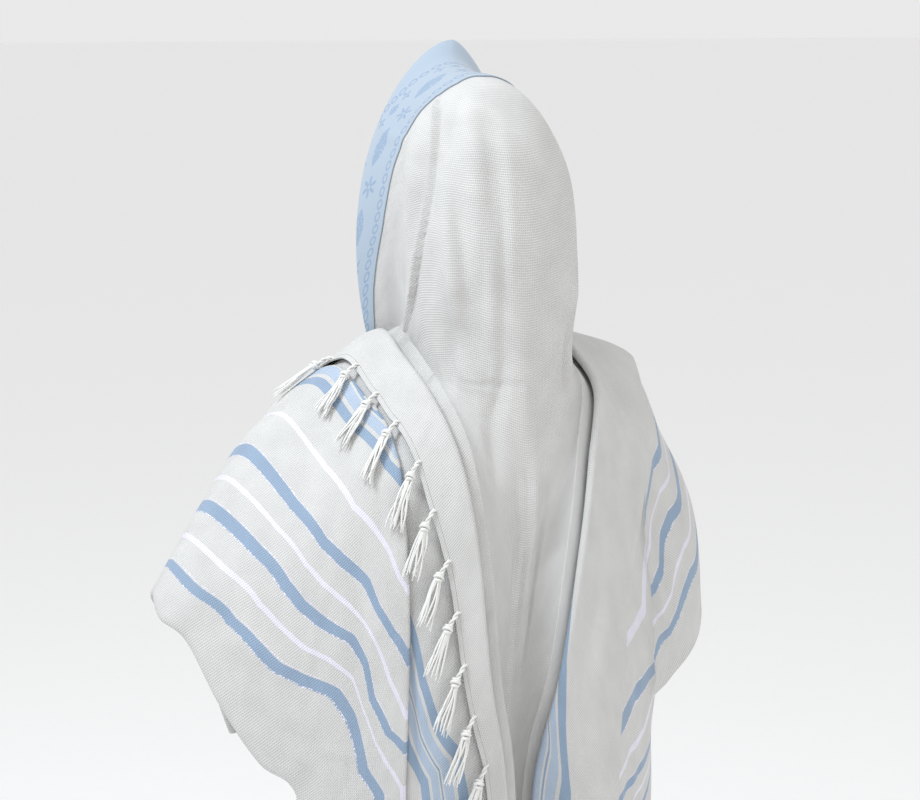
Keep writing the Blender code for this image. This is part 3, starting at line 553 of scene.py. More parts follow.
# The right end's top layer has a soft edge down it, and a second layer beyond that.
STRIP_PARTS = 30
BEYOND_PARTS = 34
STRIP_RISE = 0.0030
SOFT_EDGE = (  # row, column
    (0.0, 3.02), (4.1, 3.00), (4.5, 2.90), (5.8, 2.68), (6.6, 2.84), (7.0, 2.90), (7.7, 2.72),
    (8.2, 2.52), (11.0, 2.50),
)
# The hood's forward part laps over the rest along this line: arch, angle.
OVERLAP = ((2.90, 1.03), (3.62, 0.78), (4.00, 0.67), (4.24, 0.50), (4.60, 0.25))
OVERLAP_RISE = 0.0065
OVERLAP_FRONT, OVERLAP_BEHIND = 0.050, 0.0045  # how wide it rises, and how wide it drops
OVERLAP_FADE = 0.03  # beyond each end of the line

# Cloth coordinate of each woven stripe, in metres from the fringed edge.
BAND_START, BAND_END = 0.160, 0.211
SATIN_1, STRIPE_1, STRIPE_2, STRIPE_3 = 0.268, 0.325, 0.391, 0.457
SATIN_HALF, THIN_SATIN_HALF, STRIPE_HALF = 0.00425, 0.00325, 0.0070
GLITTER_AT, GLITTER_HALF = 0.0074, 0.0010  # from a wide stripe's middle, and its half width
RAMP_LENGTH = 0.5  # of the cloth that the colour ramp covers
RIB_SPACING, CROSS_SPACING, RIB_DEPTH = 0.0025, 0.0021, 0.0005
YARN_RADIUS, YARN_SIDES = 0.0011, 5
SLING_COORDINATE = 0.53
PLAIN_COORDINATE = 0.75
TURNED_WIDTH = 0.045  # of the edge that is turned back
LEVEL_ROW = 0.72  # how far down a piece its weave runs level, as a share of its rows

# Where the stripes cross each row; beyond a table's rows they run straight on. Left drape:
# row, columns of the stripes 3, 2 and 1 and of the band's far edge.
LEFT_DRAPE_STRIPES = (
    (3.2, 0.32, 1.04, 1.70, 3.06),
    (4.3, 0.38, 1.04, 1.67, 2.95),
    (5.1, 0.43, 1.08, 1.75, 2.90),
    (5.5, 0.55, 1.18, 1.90, 3.02),
    (6.0, 0.70, 1.42, 2.13, 3.10),
    (6.4, 0.92, 1.66, 2.15, 3.12),
    (6.8, 1.21, 1.72, 2.26, 3.20),
    (7.2, 1.31, 1.66, 2.48, 3.30),
    (7.6, 1.28, 1.86, 2.75, 3.40),
    (7.85, 1.24, 2.28, 3.00, 3.50),
    (8.1, 1.54, 2.60, 3.20, 3.60),
)
# Left end's lower layer: row, columns of the band's far and near edges.
LEFT_END_BAND = (
    (0.0, 1.30, 2.10),
    (5.6, 1.50, 2.30),
    (6.8, 1.90, 2.60),
    (7.46, 2.05, 2.78),
    (7.84, 2.20, 3.04),
    (8.18, 2.58, 3.36),
    (9.0, 2.70, 3.45),
)
# Right end's strip: row, columns of the fringed edge's turn, the band's near and far edges,
# and the soft edge.
RIGHT_STRIP_BAND = (
    (0.0, 7.0, 5.65, 4.80, 2.9),
    (5.6, 7.0, 5.65, 4.80, 2.7),
    (6.8, 7.0, 5.50, 4.65, 2.6),
    (7.4, 7.0, 5.20, 4.35, 2.5),
    (7.9, 7.0, 4.82, 3.97, 2.4),
    (8.2, 7.0, 4.60, 3.75, 2.3),
    (8.5, 7.0, 4.27, 3.42, 2.0),
    (11.0, 7.0, 4.10, 3.25, 1.9),
)
# Right end beyond the soft edge: row, columns of cloth near the fringe, the band's far edge,
# satin 1, stripes 1 and 2, and the sling fold.
RIGHT_END_STRIPES = (
    (5.4, 6.0, 4.70, 2.30, 1.45, 0.60, -1.0),
    (6.4, 6.0, 4.60, 2.15, 1.05, 0.10, -1.2),
    (6.75, 6.0, 4.50, 2.45, 1.40, 0.25, -1.1),
    (7.1, 6.0, 4.40, 2.85, 1.85, 0.45, -1.0),
    (7.45, 6.0, 4.30, 3.30, 2.45, 0.62, -1.0),
    (7.8, 6.0, 4.20, 3.60, 2.95, 1.50, -0.6),
    (8.1, 6.0, 4.20, 3.80, 3.20, 2.35, 0.0),
    (8.5, 6.0, 4.20, 3.95, 3.50, 2.60, 0.2),
)
# Right drape: row, columns of the stripes 3, 2 and 1 and of satin 1.
RIGHT_DRAPE_STRIPES = (
    (0.0, 0.90, 1.70, 2.36, 2.95),
    (3.9, 0.90, 1.72, 2.38, 2.95),
    (4.4, 1.00, 1.82, 2.50, 3.00),
    (4.8, 0.95, 1.78, 2.35, 2.90),
    (5.2, 0.90, 1.58, 2.30, 2.90),
    (5.6, 0.90, 1.64, 2.30, 2.85),
    (6.0, 1.10, 1.84, 2.60, 3.10),
    (7.0, 1.20, 1.90, 2.70, 3.20),
)


def split(values, parts):
    """A table with each step from row to row split into equal parts."""
    values = np.asarray(values, float)
    t = np.arange((len(values) - 1) * parts + 1) / parts
    i = np.minimum(t.astype(int), len(values) - 2)
    f = (t - i).reshape(-1, *[1] * (values.ndim - 1))
    return values[i] * (1 - f) + values[i + 1] * f


def fine_rows(angle):
    """The rows of the outer pieces: the front panel, and then the body's own rows."""
    return split(np.concatenate([FRONT_PANEL_ROWS, arm_rows(angle)]), ROW_SPLIT)


def crossing(table, coordinates, p, q):
    """The cloth coordinate at rows p and columns q, from where known lines cross each row."""
    coordinates = np.array(coordinates)
    found = []
    for places, at in zip(np.stack(interpolated(table, p), axis=1), q):
        order = np.argsort(places)
        found.append(np.interp(at, places[order], coordinates[order]))
    return np.array(found)


def steps(middle):
    """Distances from point to point of a grid: along its rows, and down its columns."""
    return [np.linalg.norm(np.diff(middle, axis=axis), axis=2) for axis in (1, 0)]


def metric(middle):
    """Distances over a grid of points: along its rows and down its columns, in metres."""
    across, down = steps(middle)
    u = np.pad(np.cumsum(across, axis=1), ((0, 0), (1, 0)))
    v = np.pad(np.cumsum(down, axis=0), ((1, 0), (0, 0)))
    u -= u[:, u.shape[1] // 2][:, None]
    v -= v[int(LEVEL_ROW * len(v))]
    return u, v


# ---- Meshes ----


def cloth_wall(name, middle, cut, thickness, kind, cut_before=None, border=0, across=None):
    """A closed cloth piece round a grid of points. It has two UV maps: cut and weave.

    Where one stretch lies over another, cut_before is the cloth coordinate of the columns
    before the border. across is the cut map's second coordinate, if it isn't the distance
    down the cloth.
    """
    n = grid_normals(middle) * thickness / 2
    rows, columns = middle.shape[:2]
    count = rows * columns
    verts = np.concatenate([(middle + n).reshape(-1, 3), (middle - n).reshape(-1, 3)])
    number = np.arange(count).reshape(rows, columns)
    a, b = number[:-1, :-1].ravel(), number[:-1, 1:].ravel()
    c, d = number[1:, 1:].ravel(), number[1:, :-1].ravel()
    outer = np.stack([a, b, c, d], axis=1)
    inner = np.stack([a, d, c, b], axis=1) + count
    ring = np.concatenate([number[0, :-1], number[:-1, -1], number[-1, :0:-1], number[:0:-1, 0]])
    after = np.roll(ring, -1)
    rim = np.stack([after, ring, ring + count, after + count], axis=1)
    mesh = bpy.data.meshes.new(name)
    faces = np.concatenate([outer, inner, rim])
    mesh.from_pydata(verts.tolist(), [], faces.tolist())
    whole = bmesh.new()
    whole.from_mesh(mesh)
    bmesh.ops.recalc_face_normals(whole, faces=whole.faces)
    whole.to_mesh(mesh)
    whole.free()
    u, v = metric(middle)
    index = np.empty(len(mesh.loops), np.int32)
    mesh.loops.foreach_get("vertex_index", index)
    cell = np.arange(len(index)) // 4 % ((rows - 1) * (columns - 1)) % (columns - 1)
    before = np.where(cell < border, count * 2, 0) if cut_before is not None else 0
    second = v if across is None else across
    for label, first, other, up in (("cut", cut, cut_before, second), ("weave", u, u, v)):
        layer = mesh.uv_layers.new(name=label)
        sides = []
        for value in (first, first if other is None else other):
            one = np.stack([np.broadcast_to(value, u.shape), up], axis=-1).reshape(-1, 2)
            sides += [one, one]
        places = np.concatenate(sides)[index + before]
        layer.data.foreach_set("uv", places.astype(np.float32).ravel())
    mesh.shade_smooth()
    mesh.set_sharp_from_angle(angle=math.radians(60))
    mesh.materials.append(kind)
    return linked(name, mesh)


def declare(piece, slot, *nodes):
    """Makes a finished piece ride on the body and stand for its nodes."""
    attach(piece, BODY)
    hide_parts(*nodes)


def cloth_sheet(middle):
    """Works out the cross product of each cell's diagonals over one grid of cloth, and keeps nothing of it.
    The cut of a stretch isn't a rectangle, so its area may be less than its mean row times its mean column."""
    cells = np.cross(middle[1:, 1:] - middle[:-1, :-1], middle[1:, :-1] - middle[:-1, 1:])


# ---- Materials ----


class Number:
    """What a node gives out, ready to calculate with."""

    def __init__(self, tree, socket):
        self.tree, self.socket = tree, socket

    def math(self, operation, *others):
        inputs = dict(enumerate((self, *others)))
        return self.tree.read("ShaderNodeMath", 0, inputs, operation=operation)

    def __add__(self, other):
        return self.math("ADD", other)

    def __sub__(self, other):
        return self.math("SUBTRACT", other)

    def __rsub__(self, other):
        return self.math("MULTIPLY_ADD", -1.0, other)

    def __mul__(self, other):
        return self.math("MULTIPLY", other)

    def __truediv__(self, other):
        return self.math("DIVIDE", other)

    def __abs__(self):
        return self.math("ABSOLUTE")

    def soft_step(self, start, end):
        inputs = {"Value": self, "From Min": start, "From Max": end}
        return self.tree.read("ShaderNodeMapRange", "Result", inputs, interpolation_type="SMOOTHSTEP")


class Tree:
    """Short ways to add nodes to a tree."""

    def __init__(self, tree):
        self.tree = tree

    def add(self, kind, inputs=(), **settings):
        node = self.tree.nodes.new(kind)
        for key, value in settings.items():
            setattr(node, key, value)
        for key, value in dict(inputs).items():
            self.feed(node.inputs[key], value)
        return node

    def read(self, kind, output, inputs=(), **settings):
        """One output of a new node."""
        return Number(self, self.add(kind, inputs, **settings).outputs[output])

    def feed(self, socket, value):
        value = getattr(value, "socket", value)
        if isinstance(value, bpy.types.NodeSocket):
            self.tree.links.new(value, socket)
        else:
            socket.default_value = value

    def mix(self, share, first, second):
        inputs = {0: share, 6: first, 7: second}
        return self.read("ShaderNodeMix", 2, inputs, data_type="RGBA")

    def noise(self, vector, scale, detail):
        inputs = {"Vector": vector, "Scale": scale, "Detail": detail}
        return self.read("ShaderNodeTexNoise", "Fac", inputs)

    def parts(self, vector):
        node = self.add("ShaderNodeSeparateXYZ", {0: vector})
        return [Number(self, output) for output in node.outputs]

    def uv(self, name):
        return self.read("ShaderNodeUVMap", 0, uv_map=name)

    def bump(self, height, strength, distance):
        inputs = {"Height": height, "Strength": strength, "Distance": distance}
        return self.read("ShaderNodeBump", 0, inputs)


def once(kind, name):
    """Has a function make its data-block the first time only, and return it every time."""

    def wrap(make):
        return lambda *given: getattr(bpy.data, kind).get(name) or make(name, *given)

    return wrap


def new_group(name, inputs, outputs, kind="ShaderNodeTree"):
    """A node group with named sockets: inputs as (name, type, default)."""
    group = bpy.data.node_groups.new(name, kind)
    for label, socket_type, default in inputs:
        socket = group.interface.new_socket(name=label, in_out="INPUT", socket_type=socket_type)
        if default is not None:
            socket.default_value = default
    for label, socket_type in outputs:
        group.interface.new_socket(name=label, in_out="OUTPUT", socket_type=socket_type)
    tree = Tree(group)
    given = tree.add("NodeGroupInput").outputs
    return group, tree, given, tree.add("NodeGroupOutput").inputs


FLOAT, VECTOR, COLOUR = "NodeSocketFloat", "NodeSocketVector", "NodeSocketColor"


@once("node_groups", "Waffle Weave")
def weave_group(name):
    """Waffle ribs both ways and the slight unevenness of woven wool. Its colour factor darkens the ribs'
    grooves as painted shade and adds the wool's real uneven tone.
    """
    sizes = (("Rib Spacing", FLOAT, RIB_SPACING), ("Cross Spacing", FLOAT, CROSS_SPACING))
    results = (("Height", FLOAT), ("Painted Shade And Slub", FLOAT))
    group, t, given, out = new_group(name, (("Vector", VECTOR, None), *sizes), results)
    place = given["Vector"]
    across, down, _ = t.parts(place)
    ribs, threads = (
        (at / given[spacing] * (2 * math.pi)).math("COSINE") * 0.5 + 0.5
        for at, spacing in ((down, "Rib Spacing"), (across, "Cross Spacing"))
    )
    cells = ribs.math("POWER", 1.6).math("MAXIMUM", threads * 0.6)
    t.feed(out["Height"], t.noise(place, 900.0, 2.0) * 0.35 + cells)
    # Painted shade: darker in the ribs' grooves and lighter on the ribs, mixed with the wool's real uneven
    # tone.
    t.feed(out["Painted Shade And Slub"], cells * 0.6 + t.noise(place, 28.0, 3.0) * 0.4)
    return group


@once("node_groups", "Shawl Stripes")
def stripes_group(name, cloth, blue, pale, satin):
    """The shawl's woven stripes by their distance from the fringed edge, and their gloss."""
    inputs = (("Vector", VECTOR, None), ("Ragged Edge", FLOAT, 0.0007))
    group, t, given, out = new_group(name, inputs, (("Color", COLOUR), ("Gloss", FLOAT)))
    # Satin stripes take a lighter, lilac-white colour than the cloth: a real woven stripe with painted
    # sheen, and full gloss in the alpha.
    plain, white, satin_with_painted_sheen = (*cloth, 0.0), (*cloth, 0.2), (*satin, 1.0)
    deep, light = (*blue, 0.35), (*pale, 0.5)
    lines = [(0.0, plain)]
    at = BAND_START
    half_band = (0.0085, deep), (0.0035, white), (0.0100, light), (0.0020, white)
    for width, kind in (*half_band, (0.0030, deep), *half_band[::-1]):
        lines.append((at, kind))
        at += width
    lines.append((at, plain))
    for centre, half, kind in (
        (SATIN_1, SATIN_HALF, satin_with_painted_sheen),
        (STRIPE_1, STRIPE_HALF, deep),
        ((STRIPE_1 + STRIPE_2) / 2, THIN_SATIN_HALF, satin_with_painted_sheen),
        (STRIPE_2, STRIPE_HALF, deep),
        ((STRIPE_2 + STRIPE_3) / 2, THIN_SATIN_HALF, satin_with_painted_sheen),
        (STRIPE_3, STRIPE_HALF, deep),
    ):
        lines += [(centre - half, kind), (centre + half, plain)]
    place = given["Vector"]
    cut = t.parts(place)[0]
    ragged = (t.noise(place, 1300.0, 1.0) - 0.5) * given["Ragged Edge"] * 3.0
    past_band = cut.soft_step(BAND_END + 0.01, BAND_END + 0.03)
    ramp = t.add("ShaderNodeValToRGB", {"Fac": (ragged * past_band + cut) / RAMP_LENGTH})
    ramp.color_ramp.interpolation = "CONSTANT"
    stops = ramp.color_ramp.elements
    while len(stops) > 1:
        stops.remove(stops[-1])
    stops[0].position, stops[0].color = lines[0]
    for start, kind in lines[1:]:
        stops.new(start / RAMP_LENGTH).color = kind
    # Metallic threads glitter along both edges of each wide stripe: dots of real metallic thread, painted in
    # the satin's lighter colour as a painted glint.
    pitch = STRIPE_2 - STRIPE_1
    from_centre = abs((cut - (STRIPE_1 - pitch / 2)).math("MODULO", pitch) - pitch / 2)
    near = abs(from_centre - GLITTER_AT).math("LESS_THAN", GLITTER_HALF)
    dots = t.read("ShaderNodeTexVoronoi", "Color", {"Vector": place, "Scale": 900.0})
    bright = t.read("ShaderNodeSeparateColor", 0, {0: dots}).math("GREATER_THAN", 0.5)
    inside = cut.math("GREATER_THAN", STRIPE_1 - 0.025) * cut.math("LESS_THAN", STRIPE_3 + 0.023)
    spark = near * bright * inside
    gloss = Number(t, ramp.outputs["Alpha"]).math("MAXIMUM", spark)
    t.feed(out["Color"], t.mix(spark, ramp.outputs["Color"], satin_with_painted_sheen))
    t.feed(out["Gloss"], gloss)
    return group


def principled(name, roughness=0.6, sheen=0.0):
    """A new material's tree and shader. These values are the same all over the surface."""
    kind = bpy.data.materials.new(name)
    kind.use_nodes = True
    shader = kind.node_tree.nodes["Principled BSDF"].inputs
    for label, value in (("Roughness", roughness), ("Sheen Weight", sheen), ("Sheen Roughness", 0.4)):
        shader[label].default_value = value
    return kind, Tree(kind.node_tree), shader


@once("materials", "shawl_cloth")
def cloth_material(name, sizes, colours):
    kind, t, shader = principled(name, sheen=0.25)
    spacings = {"Rib Spacing": sizes.rib_spacing, "Cross Spacing": sizes.cross_spacing}
    inputs = {"Vector": t.uv("weave"), **spacings}
    weave = t.add("ShaderNodeGroup", node_tree=weave_group())
    for label, value in inputs.items():
        t.feed(weave.inputs[label], value)
    four = (tuple(c) for c in (colours.cloth, colours.stripe, colours.pale, colours.satin))
    stripes = t.add("ShaderNodeGroup", node_tree=stripes_group(*four))
    t.feed(stripes.inputs["Vector"], t.uv("cut"))
    height, painted_shade_and_slub = (Number(t, output) for output in weave.outputs)
    gloss = Number(t, stripes.outputs["Gloss"])
    # The weave's painted shade in the rib grooves, with the wool's real uneven tone, darkens the cloth's
    # colour.
    painted_shade_and_slub = painted_shade_and_slub * 0.55 + 0.60
    grey = t.read("ShaderNodeCombineColor", 0, dict.fromkeys(range(3), painted_shade_and_slub))
    colour = t.read(
        "ShaderNodeMix", 2, {0: 1.0, 6: stripes.outputs["Color"], 7: grey},
        data_type="RGBA", blend_type="MULTIPLY",
    )
    t.feed(shader["Base Color"], colour)
    t.feed(shader["Roughness"], gloss * -0.42 + 0.78)
    t.feed(shader["Normal"], t.bump(gloss * 0.4 + height, 0.8, sizes.rib_depth))
    return kind


MOTIF_REPEAT = 0.080
MOTIF_WIDTH = 0.105  # from the seam, the part of the neckband that carries motifs


@once("node_groups", "Neckband Motifs")
def neckband_group(name):
    """Leaves, sprigs and a border of rings, woven into the neckband."""
    sizes = (("Repeat", FLOAT, MOTIF_REPEAT), ("Band Width", FLOAT, MOTIF_WIDTH))
    group, t, given, out = new_group(name, (("Vector", VECTOR, None), *sizes), (("Mask", FLOAT),))
    along, across, _ = t.parts(given["Vector"])
    along, across = along / given["Repeat"], across / given["Band Width"]

    def cell(shift, width, at):
        """Place within a repeated cell, in units of its half width."""
        return ((along + shift).math("FRACT") - 0.5) / width, (across - at) / width

    def length(x, y):
        return (x * x + y * y).math("SQRT")

    def leaf(shift, width, at, thin):
        x, y = cell(shift, width, at)
        inside = ((1.0 - x * x) * thin - abs(y)).soft_step(0.0, 0.06)
        vein = 1.0 - abs(y).soft_step(0.03, 0.09)
        lace = t.read("ShaderNodeTexVoronoi", "Distance", {"Vector": given["Vector"], "Scale": 330.0})
        return inside * vein.math("MAXIMUM", lace.soft_step(0.28, 0.42))

    def sprig(shift, width, at, petals):
        x, y = cell(shift, width, at)
        radius = length(x, y)
        reach = (y.math("ARCTAN2", x) * petals).math("COSINE") * 0.34 + 0.62
        return (reach - radius).soft_step(0.0, 0.08) * radius.soft_step(0.12, 0.2)

    def chain(at, count, radius):
        x = (along * count).math("FRACT") - 0.5
        y = (across - at) * (MOTIF_WIDTH / MOTIF_REPEAT * count)
        return 1.0 - abs(length(x, y) - radius).soft_step(0.06, 0.13)

    mask, *others = (
        leaf(0.0, 0.27, 0.50, 0.42),
        leaf(0.5, 0.12, 0.26, 0.55),
        sprig(0.5, 0.15, 0.56, 6.0),
        sprig(0.25, 0.09, 0.24, 4.0),
        sprig(0.75, 0.09, 0.24, 4.0),
        chain(0.86, 6.0, 0.34),
        chain(0.08, 6.0, 0.34),
    )
    for shape in others:
        mask = mask.math("MAXIMUM", shape)
    t.feed(out["Mask"], mask)
    return group


@once("materials", "neckband_satin")
def neckband_material(name, colours):
    kind, t, shader = principled(name, sheen=0.1)
    motifs = t.add("ShaderNodeGroup", node_tree=neckband_group())
    t.feed(motifs.inputs["Vector"], t.uv("cut"))
    mask = Number(t, motifs.outputs["Mask"])
    threads = t.noise(t.uv("weave"), 1100.0, 1.0)
    share = mask * (threads * 0.4 + 0.7)
    t.feed(shader["Base Color"], t.mix(share, (*colours.neckband, 1), (*colours.motif, 1)))
    t.feed(shader["Roughness"], mask * 0.22 + 0.34)
    t.feed(shader["Normal"], t.bump(threads * 0.3 + mask, 0.35, 0.0004))
    return kind


@once("materials", "wool_thread")
def thread_material(name, colours):
    kind, t, shader = principled(name, sheen=0.3)
    fibres = t.noise(t.read("ShaderNodeTexCoord", "Object"), 1400.0, 2.0)
    dark = (*(0.86 * c for c in colours.thread), 1)
    t.feed(shader["Base Color"], t.mix(fibres, dark, (*colours.thread, 1)))
    t.feed(shader["Roughness"], fibres * 0.2 + 0.6)
    t.feed(shader["Normal"], t.bump(fibres, 0.4, 0.0003))
    return kind


# ---- Yarns ----


@once("node_groups", "Spun Yarn")
def yarn_tree(name):
    """Geometry Nodes that sweep a round yarn along every curve it is given."""
    shape = "NodeSocketGeometry"
    inputs = (
        ("Geometry", shape, None),
        ("Yarn Radius", FLOAT, YARN_RADIUS),
        ("Yarn Sides", "NodeSocketInt", YARN_SIDES),
        ("Yarn", "NodeSocketMaterial", None),
    )
    group, t, given, out = new_group(name, inputs, (("Geometry", shape),), "GeometryNodeTree")
    ring = {"Resolution": given["Yarn Sides"], "Radius": given["Yarn Radius"]}
    profile = t.read("GeometryNodeCurvePrimitiveCircle", "Curve", ring)
    width = t.read("GeometryNodeInputRadius", 0)
    lines = {"Curve": given["Geometry"], "Profile Curve": profile, "Scale": width, "Fill Caps": True}
    swept = t.read("GeometryNodeCurveToMesh", 0, lines)
    smooth = t.read("GeometryNodeSetShadeSmooth", 0, {"Geometry": swept})
    real = t.read("GeometryNodeRealizeInstances", 0, {"Geometry": smooth})
    painted = {"Geometry": real, "Material": given["Yarn"]}
    t.feed(out["Geometry"], t.read("GeometryNodeSetMaterial", 0, painted))
    return group


def linked(name, data):
    """A new object in the scene."""
    obj = bpy.data.objects.new(name, data)
    bpy.context.scene.collection.objects.link(obj)
    return obj


def yarns(name, lines, radius, kind):
    """A mesh of round yarns. Each line is (points, width at each point as a share)."""
    curve_data = bpy.data.curves.new(name + "_lines", "CURVE")
    curve_data.dimensions = "3D"
    for points, widths in lines:
        spline = curve_data.splines.new("POLY")
        spline.points.add(len(points) - 1)
        for point, place, width in zip(spline.points, points, widths):
            point.co = (*place, 1)
            point.radius = width
    guide = linked(name + "_lines", curve_data)
    modifier = guide.modifiers.new("Spun Yarn", "NODES")
    modifier.node_group = yarn_tree()
    values = {"Yarn Radius": radius, "Yarn Sides": YARN_SIDES, "Yarn": kind}
    for item in modifier.node_group.interface.items_tree:
        if item.in_out == "INPUT" and item.name in values:
            modifier[item.identifier] = values[item.name]
    graph = bpy.context.evaluated_depsgraph_get()
    mesh = bpy.data.meshes.new_from_object(guide.evaluated_get(graph))
    mesh.name = name
    bpy.data.objects.remove(guide)
    return linked(name, mesh)


# ---- The cloth's grids ----


def overlap_height(r, angle):
    """How far the hood's forward part stands out beside the line where it laps over.

    The cloth rises slowly toward the line from the front and drops behind it at once."""
    line = np.array(OVERLAP) * ARCH_SPACING
    place = np.stack([r, angle], axis=-1) * ARCH_SPACING
    nearest_away = np.full(r.shape, np.inf)
    behind = np.zeros(r.shape)
    for a, b in zip(line, line[1:]):
        run = b - a
        share = ((place - a) @ run) / (run @ run)
        away = place - a - np.clip(share, 0, 1)[..., None] * run
        distance = np.linalg.norm(away, axis=-1)
        side = run[0] * away[..., 1] - run[1] * away[..., 0]
        closer = distance < nearest_away - 1e-9
        nearest_away = np.where(closer, distance, nearest_away)
        behind = np.where(closer, side > 0, behind)
    fade = np.clip((line[-1, 0] - place[..., 0]) / OVERLAP_FADE + 1, 0, 1)
    fade *= np.clip((place[..., 0] - line[0, 0]) / OVERLAP_FADE + 1, 0, 1)
    width = np.where(behind > 0, OVERLAP_BEHIND, OVERLAP_FRONT)
    return OVERLAP_RISE * eased(1 - nearest_away / width) * fade


def fine_body():
    """The body's grid with its rows and columns split, and where its arches start and end."""
    angles = split(np.linspace(0, math.pi, ARCH_COLUMNS), ARCH_SPLIT)
    coarse = np.stack([body_rows(a) for a in angles], axis=1)
    r = split(coarse, ROW_SPLIT)
    angles = np.broadcast_to(angles, r.shape)
    arch = hood_points(r, angles)
    arch = arch + grid_normals(arch) * BODY_OUT * overlap_height(r, angles)[..., None]
    flaps = []
    for form, angle in ((LEFT, 0.0), (RIGHT, math.pi)):
        p = split(arm_rows(angle), ROW_SPLIT)
        q = split(np.linspace(0, FLAP_END, FLAP_COLUMNS), FLAP_SPLIT)[None]
        flap = form.at(p[:, None], q, INNER_OUT)
        over = unit(form.slopes(p, np.zeros_like(p))[1])
        flap[:, 0] += over * (SLING_TAIL + SEAM)
        flaps.append(flap)
    columns = flaps[0].shape[1]
    return np.concatenate([flaps[0], arch, flaps[1][:, ::-1]], axis=1), columns


def drape_columns(edge, parts):
    return between(np.zeros_like(edge), edge, (parts - 1) * COLUMN_SPLIT + 1)


def left_drape():
    """The outer layer over the left arm, and its cloth coordinate."""
    p = fine_rows(0.0)
    pleat, _ = interpolated(LEFT_EDGES, p)
    q = drape_columns(pleat, LEFT_DRAPE_COLUMNS)
    near = eased((q - pleat[:, None] + RISE_BEFORE) / RISE_WIDTH)
    flat = LEFT.at(p[:, None], q, UNDER_OUT + (OVER_OUT - UNDER_OUT) * near)
    edge = lip(LEFT, p, pleat, OVER_OUT, 1, LIP_RADIUS, LIP_TAIL)
    fold = sling_fold(LEFT, p)
    table = [(r[0], 0.0, *r[1:], r[-1] + 1.5) for r in LEFT_DRAPE_STRIPES]
    marks = (SLING_COORDINATE, STRIPE_3, STRIPE_2, STRIPE_1, BAND_END, 0.10)
    sides = ((0, 0), (fold.shape[1], edge.shape[1]))
    cut = np.pad(crossing(table, marks, p, q), sides, mode="edge")
    return np.concatenate([fold, flat, edge], axis=1), cut


def right_drape():
    """The outer layer over the right arm, and its cloth coordinate."""
    p = fine_rows(math.pi)
    hard, _ = interpolated(RIGHT_EDGES, p)
    q = drape_columns(np.minimum(hard + RIGHT_REACH, RIGHT_REACH_LAST), RIGHT_DRAPE_COLUMNS)
    fold = sling_fold(RIGHT, p)
    table = [(r[0], 0.0, *r[1:], r[-1] + 0.6) for r in RIGHT_DRAPE_STRIPES]
    marks = (SLING_COORDINATE, STRIPE_3, STRIPE_2, STRIPE_1, SATIN_1, BAND_END + 0.005)
    cut = np.pad(crossing(table, marks, p, q), ((0, 0), (fold.shape[1], 0)), mode="edge")
    return np.concatenate([fold, RIGHT.at(p[:, None], q, UNDER_OUT)], axis=1), cut


def left_end_grid():
    """The left end's three stretches, and its cloth coordinate."""
    p = fine_rows(0.0)
    pleat, root = interpolated(LEFT_EDGES, p)
    low_count, top_count = ((n - 1) * COLUMN_SPLIT + 1 for n in LEFT_LAYER_COLUMNS)
    start = pleat - LOW_REACH
    layers = end_layers(LEFT, start, root, p, low_count, top_count)
    q = between(start, np.full_like(p, FOLD_COLUMN), low_count)
    table = [(r[0], r[1] - 2.0, *r[1:], FOLD_COLUMN + 0.8) for r in LEFT_END_BAND]
    low = crossing(table, (BAND_END + 0.05, BAND_END, BAND_START, TURNED_WIDTH), p, q)
    turned = [TURNED_WIDTH] * layers[1].shape[1] + [*np.linspace(TURNED_WIDTH, 0, top_count)]
    return layers, np.concatenate([low, np.tile(turned, (len(p), 1))], axis=1)


def right_end_grid():
    """The right end's stretches, its cloth coordinate beyond the soft edge and before it,
    and the column where the one takes over from the other."""
    p = fine_rows(math.pi)
    hard, under = interpolated(RIGHT_EDGES, p)
    low_count, top_count = ((n - 1) * COLUMN_SPLIT + 1 for n in RIGHT_LAYER_COLUMNS)
    layers = end_layers(RIGHT, under, hard, p, low_count, top_count)
    edge = lip(RIGHT, p, hard, OVER_OUT, -1, LIP_RADIUS, LIP_TAIL)
    (soft,) = interpolated(SOFT_EDGE, p)
    strip = between(np.full_like(p, FOLD_COLUMN), soft, STRIP_PARTS)
    beyond = between(soft, hard, BEYOND_PARTS)[:, 1:]
    q = np.concatenate([strip, beyond], axis=1)
    rise = np.zeros(q.shape[1])
    rise[:STRIP_PARTS] = STRIP_RISE * np.sin(np.linspace(0, math.pi / 2, STRIP_PARTS)) ** 2
    layers = (*layers[:2], RIGHT.at(p[:, None], q, OVER_OUT + rise))
    bend = np.concatenate([layers[1], layers[2][:, :1]], axis=1)
    back_from_top = np.cumsum(steps(bend)[0][:, ::-1], axis=1)[:, ::-1]
    low = np.tile(np.linspace(0, TURNED_WIDTH, low_count), (len(p), 1))
    maps = []
    for stripes, marks in (
        (RIGHT_END_STRIPES, (0.10, BAND_END, SATIN_1, STRIPE_1, STRIPE_2, SLING_COORDINATE)),
        (RIGHT_STRIP_BAND, (TURNED_WIDTH, BAND_START, BAND_END, SATIN_1 - 0.02)),
    ):
        top = crossing(stripes, marks, p, q)
        whole = np.concatenate([low, top[:, :1] - back_from_top, top], axis=1)
        maps.append(np.pad(whole, ((0, 0), (0, edge.shape[1])), mode="edge"))
    border = low_count + layers[1].shape[1] + STRIP_PARTS - 1
    return [*layers, edge], *maps, border


# ---- Tassels ----

